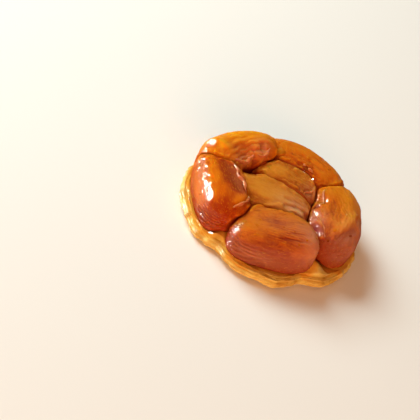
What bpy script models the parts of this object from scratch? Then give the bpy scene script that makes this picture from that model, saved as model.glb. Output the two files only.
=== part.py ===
"""Tatin tartlet: five cooked fruit quarters in a ring round two wedges, on a disc of puff pastry.

Lengths are in millimetres until a mesh is made, and the mesh is in metres. +Z is up, the pastry
stands on z = 0, and the origin is the middle of its base. The front quarter faces -Y.

A piece of fruit is a blunt cushion. A field is 0 at its middle and 1 on its skin. Where two pieces
press together, each gives way until its own field is no more than its neighbour's, so the two meet
on one shared face with a thin gap, and a crease runs along the top of it.
"""

from dataclasses import dataclass
import math

import bpy
import numpy as np

MM = 0.001

# Pastry
PASTRY_RADIUS = 54.3
FLAT_BASE_RADIUS = 42.0
RIM_HEIGHT = 7.0
RIM_UNDERCUT = 1.1
RIM_ROUND = 3.4
RIM_SIDE_POWER = 2.6
BED_HEIGHT = 6.3
LIP_HEIGHT = 0.8
LIP_WIDTH = 3.2
LAYERS = 3
LAYER_DEPTH = 1.0
LAYER_UNEVENNESS = 0.5
FLAKE_HEIGHT = 0.55
FLAKE_WAVES = (7, 11, 17)
FLAKE_SEED = 11

# Where the rim is pulled in between two quarters: direction in degrees, depth, half width in degrees
RIM_NOTCHES = (
    (247.0, 3.9, 9.0),
    (309.0, 4.6, 10.0),
    (50.0, 2.4, 11.0),
    (113.0, 2.8, 10.0),
    (276.0, 1.2, 24.0),
)
# Where the pastry stands up between two quarters: direction in degrees, height, half width in degrees
BED_RISES = (
    (243.0, 4.5, 7.0),
    (323.0, 5.6, 8.0),
    (47.0, 2.4, 7.0),
    (113.0, 2.4, 7.0),
    (178.0, 1.2, 6.0),
)
BED_RISE_RADIUS = 42.0
BED_RISE_REACH = 9.0

# Fruit
BED_GAP = 0.56
PRESS_GAP = 0.040
SHOULDER = 0.06
FURTHEST_REACH = 1.35
HALVINGS = 22
SWELL = 0.018
SWELL_TURNS = (1, 2, 3)
FOLD_FADE = 0.6
END_SHARE = 1.2

# Pits where three pieces meet: x, y, radius and depth
PITS = (
    (-21.5, 9.0, 5.0, 5.0),
    (21.5, 10.6, 3.2, 3.0),
    (20.0, -4.6, 3.2, 3.0),
    (-15.5, -15.5, 3.5, 2.5),
)

# Mesh fineness
FRUIT_ROWS = 23
FRUIT_COLUMNS = 34
PASTRY_COLUMNS = 90
PASTRY_BASE_RINGS = 2
PASTRY_SIDE_RINGS = 13
PASTRY_TOP_RINGS = 6
TOP_RING_START = 0.6
TOP_RING_SPACING = 0.8


@dataclass(frozen=True)
class Fold:
    """A groove, or with a negative depth a ridge, from one place on the skin to another.

    A place is a share of the half length along the piece and a direction round it in degrees,
    where 0 is the outer side, 90 the top and 180 the inner side. The bow bends the line between
    them, in degrees at its middle.
    """

    start: tuple
    end: tuple
    width: float
    depth: float
    bow: float = 0.0


@dataclass(frozen=True)
class Fruit:
    """The sizes of one piece. Its outer side is on the left of its long axis."""

    name: str
    middle: tuple
    turn: float
    half_length: float
    inner_width: float
    outer_width: float
    taper: float
    middle_height: float
    crown: float
    root: float
    bend_radius: float
    end_power: float
    side_power: float
    end_lift: float
    seed: int
    folds: tuple
    colour: tuple


AMBER = (0.58, 0.17, 0.02, 1.0)
RUSSET = (0.50, 0.12, 0.02, 1.0)
OCHRE = (0.56, 0.23, 0.05, 1.0)
GOLDEN = (0.72, 0.40, 0.12, 1.0)
STRAIGHT = 0.0

PIECES = (
    Fruit(
        name="fruit_back_left", middle=(-34.2, 21.5), turn=49.0, half_length=26.9,
        inner_width=16.0, outer_width=10.4, taper=-0.08, middle_height=15.0, crown=15.6, root=17.0,
        bend_radius=36.0, end_power=3.2, side_power=2.4, end_lift=0.06, seed=1, colour=AMBER,
        folds=(
            Fold((-0.52, 130.0), (0.22, 124.0), 4.6, 1.4),
            Fold((-0.47, 106.0), (0.17, 119.0), 2.0, 0.9),
            Fold((-0.41, 131.0), (0.07, 128.0), 2.0, 0.8),
            Fold((-0.59, 150.0), (0.17, 134.0), 2.4, -0.9, 8.0),
            Fold((0.21, 133.0), (0.59, 128.0), 2.2, -1.0, 9.0),
            Fold((0.37, 121.0), (0.53, 115.0), 2.6, 1.8),
            Fold((0.19, 138.0), (0.26, 168.0), 2.4, 1.8),
        ),
    ),
    Fruit(
        name="fruit_left", middle=(-33.5, -14.9), turn=119.0, half_length=27.2,
        inner_width=17.2, outer_width=12.6, taper=-0.12, middle_height=15.0, crown=13.4, root=17.0,
        bend_radius=STRAIGHT, end_power=2.9, side_power=2.5, end_lift=-0.20, seed=2, colour=AMBER,
        folds=(
            Fold((0.68, 104.0), (-0.26, 93.0), 3.8, 0.5),
            Fold((0.16, 116.0), (-0.48, 113.0), 3.0, 0.9),
            Fold((0.26, 129.0), (-0.22, 143.0), 2.2, -0.8),
            Fold((-0.39, 138.0), (-0.78, 98.0), 2.2, -0.7),
            Fold((-0.48, -8.0), (-0.92, -28.0), 2.0, 0.9, 6.0),
        ),
    ),
    Fruit(
        name="fruit_front", middle=(7.4, -31.2), turn=199.0, half_length=25.4,
        inner_width=20.0, outer_width=14.4, taper=0.13, middle_height=15.0, crown=13.4, root=17.0,
        bend_radius=STRAIGHT, end_power=3.0, side_power=2.8, end_lift=-0.20, seed=3, colour=RUSSET,
        folds=(
            Fold((0.02, 56.0), (-0.68, 61.0), 1.6, 1.3),
            Fold((-0.04, 69.0), (-0.74, 84.0), 1.6, 1.0),
            Fold((0.42, 49.0), (0.12, 46.0), 2.0, 0.5),
            Fold((0.94, -3.0), (0.22, -6.0), 1.5, 1.5, -7.0),
            Fold((0.82, -22.0), (0.10, -24.0), 1.5, 1.4, 6.0),
            Fold((0.55, 108.0), (-0.30, 101.0), 3.0, 0.5),
        ),
    ),
    Fruit(
        name="fruit_right", middle=(35.6, 8.2), turn=281.0, half_length=29.2,
        inner_width=17.2, outer_width=14.4, taper=0.0, middle_height=15.0, crown=13.0, root=17.0,
        bend_radius=70.0, end_power=2.8, side_power=2.7, end_lift=0.0, seed=4, colour=RUSSET,
        folds=(
            Fold((0.82, 101.0), (-0.10, 57.0), 2.6, -1.0),
            Fold((0.82, 76.0), (0.25, 48.0), 3.0, 0.9),
            Fold((-0.52, 114.0), (0.40, 116.0), 4.2, 0.8),
            Fold((-0.03, 146.0), (0.04, 176.0), 2.4, 1.6),
            Fold((0.55, 20.0), (-0.35, 26.0), 2.2, 0.6, 5.0),
        ),
    ),
    Fruit(
        name="fruit_back_right", middle=(4.3, 38.3), turn=-6.0, half_length=29.0,
        inner_width=14.8, outer_width=11.6, taper=0.0, middle_height=16.0, crown=12.5, root=17.0,
        bend_radius=50.0, end_power=2.8, side_power=2.5, end_lift=0.0, seed=5, colour=RUSSET,
        folds=(
            Fold((-0.50, 108.0), (0.50, 111.0), 2.4, 0.8),
            Fold((-0.60, 130.0), (0.55, 133.0), 2.2, 0.9),
            Fold((-0.25, 85.0), (0.60, 78.0), 2.4, 0.5),
        ),
    ),
    Fruit(
        name="fruit_center_front", middle=(-4.6, -3.0), turn=177.5, half_length=25.4,
        inner_width=18.2, outer_width=20.8, taper=0.0, middle_height=12.0, crown=13.3, root=12.0,
        bend_radius=STRAIGHT, end_power=2.8, side_power=2.8, end_lift=0.0, seed=6, colour=OCHRE,
        folds=(
            Fold((-0.30, 61.0), (-0.94, 99.0), 1.7, 1.3),
            Fold((-0.24, 86.0), (-0.82, 106.0), 1.7, 0.8),
            Fold((0.55, 52.0), (0.00, 50.0), 2.4, 0.4),
        ),
    ),
    Fruit(
        name="fruit_center_back", middle=(-0.3, 19.2), turn=-3.0, half_length=22.0,
        inner_width=17.2, outer_width=16.0, taper=0.0, middle_height=12.0, crown=13.1, root=12.0,
        bend_radius=STRAIGHT, end_power=2.8, side_power=2.8, end_lift=0.0, seed=7, colour=OCHRE,
        folds=(
            Fold((0.50, 128.0), (0.80, 100.0), 1.9, 0.8),
            Fold((-0.42, 104.0), (0.15, 99.0), 2.2, 0.4),
        ),
    ),
)


def degrees_apart(angle, other):
    """The angle between two directions, in degrees from -180 to 180."""
    return (angle - other + 180.0) % 360.0 - 180.0


def flake_wave(around, height):
    """Uneven waves round the rim, about -1 to 1, that slide along as the height changes."""
    draw = np.random.default_rng(FLAKE_SEED)
    total = np.zeros_like(around)
    for count in FLAKE_WAVES:
        phase, slide = draw.uniform(0.0, math.tau), draw.uniform(-0.5, 0.5)
        total = total + np.sin(count * around + phase + slide * height)
    return total / len(FLAKE_WAVES)


def rim_radius(around):
    """How far the rim reaches in a direction: a circle with notches between the quarters."""
    angle = np.degrees(around)
    reach = np.full_like(around, PASTRY_RADIUS)
    for direction, depth, half_width in RIM_NOTCHES:
        reach -= depth * np.exp(-((degrees_apart(angle, direction) / half_width) ** 2))
    return reach


def bed_height(x, y):
    """The pastry's top: level under the fruit, higher between two quarters, with a lip at the rim."""
    around = np.arctan2(y, x)
    from_middle = np.hypot(x, y)
    angle = np.degrees(around)
    height = np.full_like(from_middle, BED_HEIGHT)
    near_ring = np.exp(-(((from_middle - BED_RISE_RADIUS) / BED_RISE_REACH) ** 2))
    for direction, rise, half_width in BED_RISES:
        height += rise * near_ring * np.exp(-((degrees_apart(angle, direction) / half_width) ** 2))
    from_lip = (from_middle - rim_radius(around) + LIP_WIDTH) / LIP_WIDTH
    return height + LIP_HEIGHT * np.exp(-(from_lip**2))


def fruit_to_world(piece, along, across, up):
    """Places along a piece's spine, out from it and above it, as x, y and z."""
    if piece.bend_radius:
        swing = along / piece.bend_radius
        forward = (piece.bend_radius + across) * np.sin(swing)
        outward = (piece.bend_radius + across) * np.cos(swing) - piece.bend_radius
    else:
        forward, outward = along, across
    turn = math.radians(piece.turn)
    x = piece.middle[0] + forward * math.cos(turn) - outward * math.sin(turn)
    y = piece.middle[1] + forward * math.sin(turn) + outward * math.cos(turn)
    return x, y, piece.middle_height + up


def world_to_fruit(piece, x, y, z):
    """The reverse of fruit_to_world."""
    turn = math.radians(piece.turn)
    from_x, from_y = x - piece.middle[0], y - piece.middle[1]
    forward = from_x * math.cos(turn) + from_y * math.sin(turn)
    outward = from_y * math.cos(turn) - from_x * math.sin(turn)
    if piece.bend_radius:
        along = piece.bend_radius * np.arctan2(forward, outward + piece.bend_radius)
        outward = np.hypot(forward, outward + piece.bend_radius) - piece.bend_radius
    else:
        along = forward
    return along, outward, z - piece.middle_height


def fruit_field(piece, along, across, up):
    """0 at the middle of a piece and 1 on its skin, growing evenly outwards.

    The section is a superellipse, wider or narrower on either side, and the ends close it with a
    second one along the length. A tapered piece is wider and a lifted one taller at its far end.
    """
    share = along / piece.half_length
    width = np.where(across > 0.0, piece.outer_width, piece.inner_width)
    width = width * (1.0 + piece.taper * np.clip(share, -END_SHARE, END_SHARE))
    height = np.where(up > 0.0, piece.crown, piece.root)
    height = height * (1.0 + piece.end_lift * np.clip(share, -END_SHARE, END_SHARE))
    section = np.abs(across / width) ** piece.side_power + np.abs(up / height) ** piece.side_power
    ends = np.abs(share) ** piece.end_power
    return (ends + section ** (piece.end_power / piece.side_power)) ** (1.0 / piece.end_power)


def fold_depth(piece, along, across, up):
    """How deep the folds of a piece are at a place.

    Each fold is a round groove about a line on the unrolled skin. The line turns evenly from its
    start to its end, its bow carries it to one side in between, and it fades out at both ends.
    """
    angle = np.degrees(np.arctan2(up, across))
    round_scale = np.radians(np.hypot(across, up))
    total = np.zeros_like(along)
    for fold in piece.folds:
        (first_share, first_angle), (last_share, last_angle) = fold.start, fold.end
        run_along = (last_share - first_share) * piece.half_length
        run_round = math.radians(last_angle - first_angle) * piece.crown
        from_along = along - first_share * piece.half_length
        from_round = np.radians(degrees_apart(angle, first_angle)) * piece.crown
        share = (from_along * run_along + from_round * run_round) / (run_along**2 + run_round**2)
        share = np.clip(share, 0.0, 1.0)
        in_between = 4.0 * share * (1.0 - share)
        line_angle = first_angle + share * (last_angle - first_angle) + fold.bow * in_between
        apart = np.hypot(from_along - share * run_along, degrees_apart(angle, line_angle) * round_scale)
        faded = fold.depth * in_between**FOLD_FADE
        total += faded * np.exp(-((apart / fold.width) ** 2))
    return total


def swell(piece, along, across, up):
    """A slow unevenness of the skin, as a small share of the distance from the middle."""
    draw = np.random.default_rng(piece.seed)
    ways = (along / piece.half_length, across / piece.outer_width, up / piece.crown)
    total = np.zeros_like(along)
    for turns in SWELL_TURNS:
        for way in ways:
            total += np.sin(turns * math.pi * way / 2.0 + draw.uniform(0.0, math.tau)) / turns
    return SWELL * total


def pit_depth(x, y):
    """How far the skins sink where several pieces meet: a bell curve about each pit."""
    total = np.zeros_like(x)
    for pit_x, pit_y, radius, depth in PITS:
        total += depth * np.exp(-((x - pit_x) ** 2 + (y - pit_y) ** 2) / radius**2)
    return total


def rounded_least(first, second, round_off):
    """The smaller of two numbers, with the corner where they cross rounded off."""
    near = np.clip(round_off - np.abs(first - second), 0.0, None) / round_off
    return np.minimum(first, second) - near * near * round_off / 4.0


def fruit_skin(piece):
    """A piece's skin as x, y and z on a grid from one end to the other and all the way round.

    A ray leaves the middle for each place on the grid. It stops at the skin, less the folds and
    pits, or sooner where it meets the shared face with a neighbour or the pastry.
    """
    lengthwise = np.linspace(0.0, math.pi, FRUIT_ROWS)[:, None]
    around = np.linspace(0.0, math.tau, FRUIT_COLUMNS, endpoint=False)[None, :]
    along = -piece.half_length * np.cos(lengthwise) * np.ones_like(around)
    across = np.sin(lengthwise) * np.cos(around)
    across = across * np.where(across > 0.0, piece.outer_width, piece.inner_width)
    up = np.sin(lengthwise) * np.sin(around)
    up = up * np.where(up > 0.0, piece.crown, piece.root)
    field = fruit_field(piece, along, across, up)
    along, across, up = along / field, across / field, up / field

    free = 1.0 + swell(piece, along, across, up)
    from_middle = np.sqrt(along**2 + across**2 + up**2)
    free -= fold_depth(piece, along, across, up) / from_middle
    x, y, z = fruit_to_world(piece, free * along, free * across, free * up)
    free -= pit_depth(x, y) * np.clip(up / piece.crown, 0.0, 1.0) / from_middle
    low, high = np.zeros_like(free), np.full_like(free, FURTHEST_REACH)
    for _ in range(HALVINGS):
        reach = (low + high) / 2.0
        x, y, z = fruit_to_world(piece, reach * along, reach * across, reach * up)
        clear = z > bed_height(x, y) + BED_GAP
        for other in PIECES:
            if other is not piece:
                pressure = fruit_field(other, *world_to_fruit(other, x, y, z))
                clear &= pressure > reach + PRESS_GAP
        low, high = np.where(clear, reach, low), np.where(clear, high, reach)
    reach = rounded_least(free, low, SHOULDER)
    return fruit_to_world(piece, reach * along, reach * across, reach * up)


def pastry_skin():
    """The pastry as x, y and z: rings up its base, its layered side and its top, from pole to pole.

    The side is half a superellipse. Its layers are grooves round it, uneven because the flakes are.
    """
    around = np.linspace(0.0, math.tau, PASTRY_COLUMNS, endpoint=False)[None, :]
    outside = rim_radius(around)
    rings_x, rings_y, rings_z = [], [], []

    def add_ring(from_middle, height):
        rings_x.append(from_middle * np.cos(around))
        rings_y.append(from_middle * np.sin(around))
        rings_z.append(height * np.ones_like(around))

    for ring in range(PASTRY_BASE_RINGS):
        share = (ring + 1) / PASTRY_BASE_RINGS
        add_ring(FLAT_BASE_RADIUS * share, 0.0)

    half_height = (RIM_HEIGHT - RIM_UNDERCUT) / 2.0
    for ring in range(PASTRY_SIDE_RINGS):
        climb = math.pi * ((ring + 0.5) / PASTRY_SIDE_RINGS - 0.5)
        inward = RIM_ROUND * (1.0 - abs(math.cos(climb)) ** (2.0 / RIM_SIDE_POWER))
        lift = math.copysign(abs(math.sin(climb)) ** (2.0 / RIM_SIDE_POWER), climb)
        height = RIM_UNDERCUT + half_height * (1.0 + lift)
        groove = 0.5 + 0.5 * math.cos(math.tau * LAYERS * (ring + 0.5) / PASTRY_SIDE_RINGS)
        flakes = flake_wave(around, height)
        from_middle = outside - inward - LAYER_DEPTH * groove * (1.0 + LAYER_UNEVENNESS * flakes)
        add_ring(from_middle, height + FLAKE_HEIGHT * flake_wave(around, 0.0))

    for ring in range(PASTRY_TOP_RINGS):
        share = 1.0 - (ring + TOP_RING_START) / (PASTRY_TOP_RINGS + TOP_RING_START)
        from_middle = (outside - RIM_ROUND) * share**TOP_RING_SPACING
        x, y = from_middle * np.cos(around), from_middle * np.sin(around)
        add_ring(from_middle, bed_height(x, y))
    return tuple(np.concatenate(rings) for rings in (rings_x, rings_y, rings_z))


def closed_mesh(name, x, y, z, start_pole, end_pole):
    """A closed mesh from rings of places between two poles. Its faces point outwards."""
    rows, columns = x.shape
    ring_places = np.stack((x, y, z), axis=-1).reshape(-1, 3)
    places = np.vstack((start_pole, ring_places, end_pole)) * MM
    faces = []
    last_pole = len(places) - 1
    for column in range(columns):
        beside = (column + 1) % columns
        faces.append((0, 1 + beside, 1 + column))
        for row in range(rows - 1):
            here, above = 1 + row * columns, 1 + (row + 1) * columns
            faces.append((here + column, here + beside, above + beside))
            faces.append((here + column, above + beside, above + column))
        top = 1 + (rows - 1) * columns
        faces.append((top + column, top + beside, last_pole))
    mesh = bpy.data.meshes.new(name)
    mesh.from_pydata(places.tolist(), [], faces)
    mesh.validate()
    mesh.shade_smooth()
    return mesh


def finish(name, colour, roughness):
    """A material with one colour and one roughness."""
    material = bpy.data.materials.new(name)
    material.use_nodes = True
    shader = material.node_tree.nodes["Principled BSDF"]
    shader.inputs["Base Color"].default_value = colour
    shader.inputs["Roughness"].default_value = roughness
    shader.inputs["Metallic"].default_value = 0.0
    material.diffuse_color = colour
    return material


def place_object(name, mesh, material):
    """Puts a mesh in the scene under its own name."""
    mesh.materials.append(material)
    bpy.context.scene.collection.objects.link(bpy.data.objects.new(name, mesh))


def build_pastry():
    """The disc of puff pastry."""
    x, y, z = pastry_skin()
    middle_top = (0.0, 0.0, BED_HEIGHT)
    mesh = closed_mesh("pastry", x, y, z, (0.0, 0.0, 0.0), middle_top)
    place_object("pastry", mesh, finish("baked_pastry", GOLDEN, 0.55))


def build_fruit(piece):
    """One piece of fruit."""
    x, y, z = fruit_skin(piece)
    start_pole = (x[0, 0], y[0, 0], z[0, 0])
    end_pole = (x[-1, 0], y[-1, 0], z[-1, 0])
    rings = (x[1:-1], y[1:-1], z[1:-1])
    mesh = closed_mesh(piece.name, *rings, start_pole, end_pole)
    place_object(piece.name, mesh, finish(piece.name + "_caramel", piece.colour, 0.22))


def main():
    """Clears the scene and builds the tartlet."""
    for thing in list(bpy.data.objects):
        bpy.data.objects.remove(thing, do_unlink=True)
    build_pastry()
    for piece in PIECES:
        build_fruit(piece)


main()
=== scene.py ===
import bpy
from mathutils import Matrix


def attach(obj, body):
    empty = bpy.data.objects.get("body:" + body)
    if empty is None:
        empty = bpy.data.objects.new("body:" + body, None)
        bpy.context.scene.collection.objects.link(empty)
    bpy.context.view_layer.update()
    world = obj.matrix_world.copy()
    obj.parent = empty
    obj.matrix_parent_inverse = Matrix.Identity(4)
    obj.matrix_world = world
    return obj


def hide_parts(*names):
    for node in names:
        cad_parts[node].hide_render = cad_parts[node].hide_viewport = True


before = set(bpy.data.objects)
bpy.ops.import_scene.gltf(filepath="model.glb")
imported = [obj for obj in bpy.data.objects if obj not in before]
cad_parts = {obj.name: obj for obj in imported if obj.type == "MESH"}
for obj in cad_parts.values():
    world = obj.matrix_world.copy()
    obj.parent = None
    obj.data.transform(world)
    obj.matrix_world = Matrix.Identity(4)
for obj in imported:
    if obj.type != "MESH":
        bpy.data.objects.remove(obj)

"""Looks of the tatin tartlet: glazed fruit on baked puff pastry, with caramel between them.

Lengths are in millimetres until a mesh is made, and every mesh is in metres in the frame of the
solids: +Z up, the pastry on z = 0, the front quarter towards -Y.
"""

import itertools
import logging
import math
from collections.abc import Callable
from dataclasses import dataclass, field
from enum import Enum

import bpy
import numpy as np
from mathutils import Matrix, Vector

Array = np.ndarray
Places = tuple[Array, Array, Array]
Pair = tuple[float, float]
Triple = tuple[float, float, float]
Colour = Triple
Socket = bpy.types.NodeSocket

MM = 0.001
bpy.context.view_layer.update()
log = logging.getLogger("tartlet")


def rounded_least(first: Array, second: Array, round_off: float) -> Array:
    """Takes the smaller of two numbers, with the corner rounded off where they are that near."""
    near = np.clip(round_off - np.abs(first - second), 0.0, None) / round_off
    return np.minimum(first, second) - near * near * round_off / 4.0


def ease(value: Array, low: float, high: float) -> Array:
    """Climbs from 0 at low to 1 at high: three times the square less twice the cube of the way."""
    share = np.clip((value - low) / (high - low), 0.0, 1.0)
    return share * share * (3.0 - 2.0 * share)


def all_round(count: int) -> Array:
    """Gives evenly spaced directions all the way round, in one row."""
    return np.linspace(0.0, math.tau, count, endpoint=False)[None, :]


def furthest(passes: Callable[[Array], Array], low: Array, high: Array, halvings: int) -> Array:
    """Finds how far each place can go, by halving the range again and again.

    Args:
        passes: Tells for a number at each place whether the place may go that far.
        low: The least number at each place.
        high: The greatest.
        halvings: How often the range is halved.

    Returns:
        The greatest number that passed at each place.
    """
    for _ in range(halvings):
        middle = (low + high) / 2.0
        passed = passes(middle)
        low, high = np.where(passed, middle, low), np.where(passed, high, middle)
    return low


def degrees_apart(angle: Array, other: float) -> Array:
    """Gives the angle between two directions, in degrees from -180 to 180."""
    return (angle - other + 180.0) % 360.0 - 180.0


def bell(distance: Array) -> Array:
    """Gives a bell curve: e to the power of minus the squared distance."""
    return np.exp(-(distance**2))


def cells(places: Places, *lengths: float) -> Array:
    """Counts places in cells of these lengths along the three ways, with the ways last."""
    return np.stack([way / length for way, length in zip(places, lengths)], axis=-1)


def grown(places: Places, share: Array) -> Places:
    """Moves places out along the rays from the middle, to a share of their distance."""
    return tuple(share * way for way in places)


def unit(vectors: Array) -> Array:
    """Gives vectors, with x, y and z last, a length of 1."""
    return vectors / np.maximum(np.linalg.norm(vectors, axis=-1, keepdims=True), 1e-9)


class Grain:
    """Smooth seeded noise on a lattice, worked out for whole arrays of places."""

    CELLS = 256
    SPREAD = 1.7
    LAYER_SHIFT = 17.3

    def __init__(self, seed: int) -> None:
        """Draws the lattice's order and one slope for each cell.

        Args:
            seed: The seed of the draws.
        """
        draw = np.random.default_rng(seed)
        self.order = draw.permutation(self.CELLS)
        slopes = draw.normal(size=(self.CELLS, 3))
        self.slopes = slopes / np.linalg.norm(slopes, axis=1, keepdims=True)

    def at(self, places: Array) -> Array:
        """Reads the noise.

        Each corner of a place's cell has a slope. The height that the slope reaches at the place is
        blended over the eight corners with a smooth curve of fifth degree.

        Args:
            places: Places in cells of the lattice, with x, y and z last.

        Returns:
            A number from about -1 to 1 for each place.
        """
        cell = np.floor(places).astype(np.int64)
        part = places - cell
        blend = part**3 * (part * (part * 6.0 - 15.0) + 10.0)
        total = np.zeros(places.shape[:-1])
        for corner in itertools.product((0, 1), repeat=3):
            step = np.array(corner)
            index = (cell + step) % self.CELLS
            key = self.order[index[..., 2]]
            key = self.order[(index[..., 1] + key) % self.CELLS]
            key = self.order[(index[..., 0] + key) % self.CELLS]
            height = ((part - step) * self.slopes[key]).sum(axis=-1)
            total += height * np.prod(np.where(step == 1, blend, 1.0 - blend), axis=-1)
        return self.SPREAD * total

    def layered(self, places: Array, layers: int) -> Array:
        """Adds finer and finer noise, each layer twice as fine and half as strong.

        Args:
            places: Places in cells of the coarsest layer.
            layers: How many layers there are.

        Returns:
            A number from about -1 to 1 for each place.
        """
        total = np.zeros(places.shape[:-1])
        for layer in range(layers):
            total += self.at(places * 2.0**layer + self.LAYER_SHIFT * layer) * 0.5**layer
        return total / (2.0 - 0.5 ** (layers - 1))


class Ripples:
    """Smooth seeded unevenness made of a few plane waves, quick enough to be read many times."""

    def __init__(self, seed: int, wavelength: float, waves: int = 6) -> None:
        """Draws the direction, length and start of each wave.

        Args:
            seed: The seed of the draws.
            wavelength: The usual length of a wave, in millimetres.
            waves: How many waves there are.
        """
        draw = np.random.default_rng(seed)
        ways = draw.normal(size=(waves, 3))
        ways /= np.linalg.norm(ways, axis=1, keepdims=True)
        lengths = wavelength * draw.uniform(0.7, 1.5, size=(waves, 1))
        self.ways = math.tau * ways / lengths
        self.starts = draw.uniform(0.0, math.tau, size=waves)

    def at(self, places: Places) -> Array:
        """Adds up the sines of the waves.

        Args:
            places: Places along X, Y and Z.

        Returns:
            A number from about -1 to 1 for each place.
        """
        x, y, z = places
        total = np.zeros_like(x)
        for way, start in zip(self.ways, self.starts):
            total += np.sin(way[0] * x + way[1] * y + way[2] * z + start)
        return total / math.sqrt(2.0 * len(self.starts))


@dataclass
class Skin:
    """A closed surface on a grid: rings of places between two poles, with values on each place."""

    x: Array
    y: Array
    z: Array
    values: dict[str, Array] = field(default_factory=dict)

    @classmethod
    def of(cls, places: Array, values: dict[str, Array]) -> "Skin":
        """Makes a skin of places with x, y and z last."""
        return cls(places[..., 0], places[..., 1], places[..., 2], values)

    @classmethod
    def wet(cls, places: Array, tone: float) -> "Skin":
        """Makes a small wet skin of one tone, with the values that the finish of fruit reads.

        Args:
            places: Its places, with x, y and z last.
            tone: The tone.

        Returns:
            The skin.
        """
        flat = np.zeros(places.shape[:2])
        values = {"tone": flat + tone, "dull": flat, "crease": flat, "syrup": flat, "grain": places}
        return cls.of(places, values)

    def places(self) -> Array:
        """Gives the places as one array with x, y and z last."""
        return np.stack((self.x, self.y, self.z), axis=-1)

    def outward(self) -> Array:
        """Works out the unit normal of each place: the cross product of the steps round and along.

        Returns:
            The normals, with x, y and z last.
        """
        grid = self.places()
        round_step = np.roll(grid, -1, axis=1) - np.roll(grid, 1, axis=1)
        along_step = np.gradient(grid, axis=0)
        return unit(np.cross(round_step, along_step))

    def raised(self, height: Array) -> "Skin":
        """Moves each place outwards along its normal, by a height in millimetres."""
        return Skin.of(self.places() + self.outward() * height[..., None], self.values)

    def shell(self) -> tuple[Array, tuple[Array, ...]]:
        """Works out the mesh: a quad between neighbouring rings, and a fan of triangles at each pole.

        The pole is the mean of the ring next to it. The rings run so that the faces point outwards.

        Returns:
            The vertices in metres, and the faces in three groups.
        """
        rows, columns = self.x.shape
        vertices = self.with_poles(self.places()) * MM
        column = np.arange(columns)
        beside = (column + 1) % columns
        row = 1 + columns * np.arange(rows - 1)[:, None]
        corners = (row + column, row + beside, row + columns + beside, row + columns + column)
        quads = np.stack(corners, axis=-1).reshape(-1, 4)
        top = 1 + columns * (rows - 1)
        first_fan = np.stack((np.zeros_like(column), 1 + beside, 1 + column), axis=-1)
        last_fan = np.stack((top + column, top + beside, np.full_like(column, len(vertices) - 1)), axis=-1)
        return vertices, (first_fan, quads, last_fan)

    @staticmethod
    def with_poles(value: Array) -> Array:
        """Lists a value of each place, with a pole before and after it that takes its ring's mean.

        Args:
            value: One number or three for each place of the grid.

        Returns:
            One row for each vertex.
        """
        flat = value.reshape(-1, 3) if value.ndim == 3 else value.reshape(-1, 1)
        columns = value.shape[1]
        return np.vstack((flat[:columns].mean(axis=0), flat, flat[-columns:].mean(axis=0)))


def placed(name: str, data: bpy.types.ID) -> bpy.types.Object:
    """Makes an object that shows the data and puts it in the scene.

    Args:
        name: The name of the object.
        data: Its mesh, camera or light.

    Returns:
        The object.
    """
    thing = bpy.data.objects.new(name, data)
    bpy.context.scene.collection.objects.link(thing)
    return thing


def object_of_skins(name: str, skins: list[Skin]) -> bpy.types.Object:
    """Makes one mesh of closed skins, which all carry the same values.

    Args:
        name: The name of the object and its mesh.
        skins: The skins.

    Returns:
        The object, at the origin, unturned and unscaled.
    """
    shells = [skin.shell() for skin in skins]
    starts = np.cumsum([0] + [len(vertices) for vertices, _ in shells[:-1]])
    faces: list[list[int]] = []
    for start, (_, groups) in zip(starts, shells):
        for group in groups:
            faces.extend((group + start).tolist())
    mesh = bpy.data.meshes.new(name)
    mesh.from_pydata(np.vstack([vertices for vertices, _ in shells]).tolist(), [], faces)
    for label in skins[0].values:
        full = np.vstack([skin.with_poles(skin.values[label]) for skin in skins])
        kind, socket = ("FLOAT_VECTOR", "vector") if full.shape[1] == 3 else ("FLOAT", "value")
        attribute = mesh.attributes.new(label, kind, "POINT")
        attribute.data.foreach_set(socket, full.astype(np.float32).ravel())
    mesh.shade_smooth()
    return placed(name, mesh)


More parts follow.
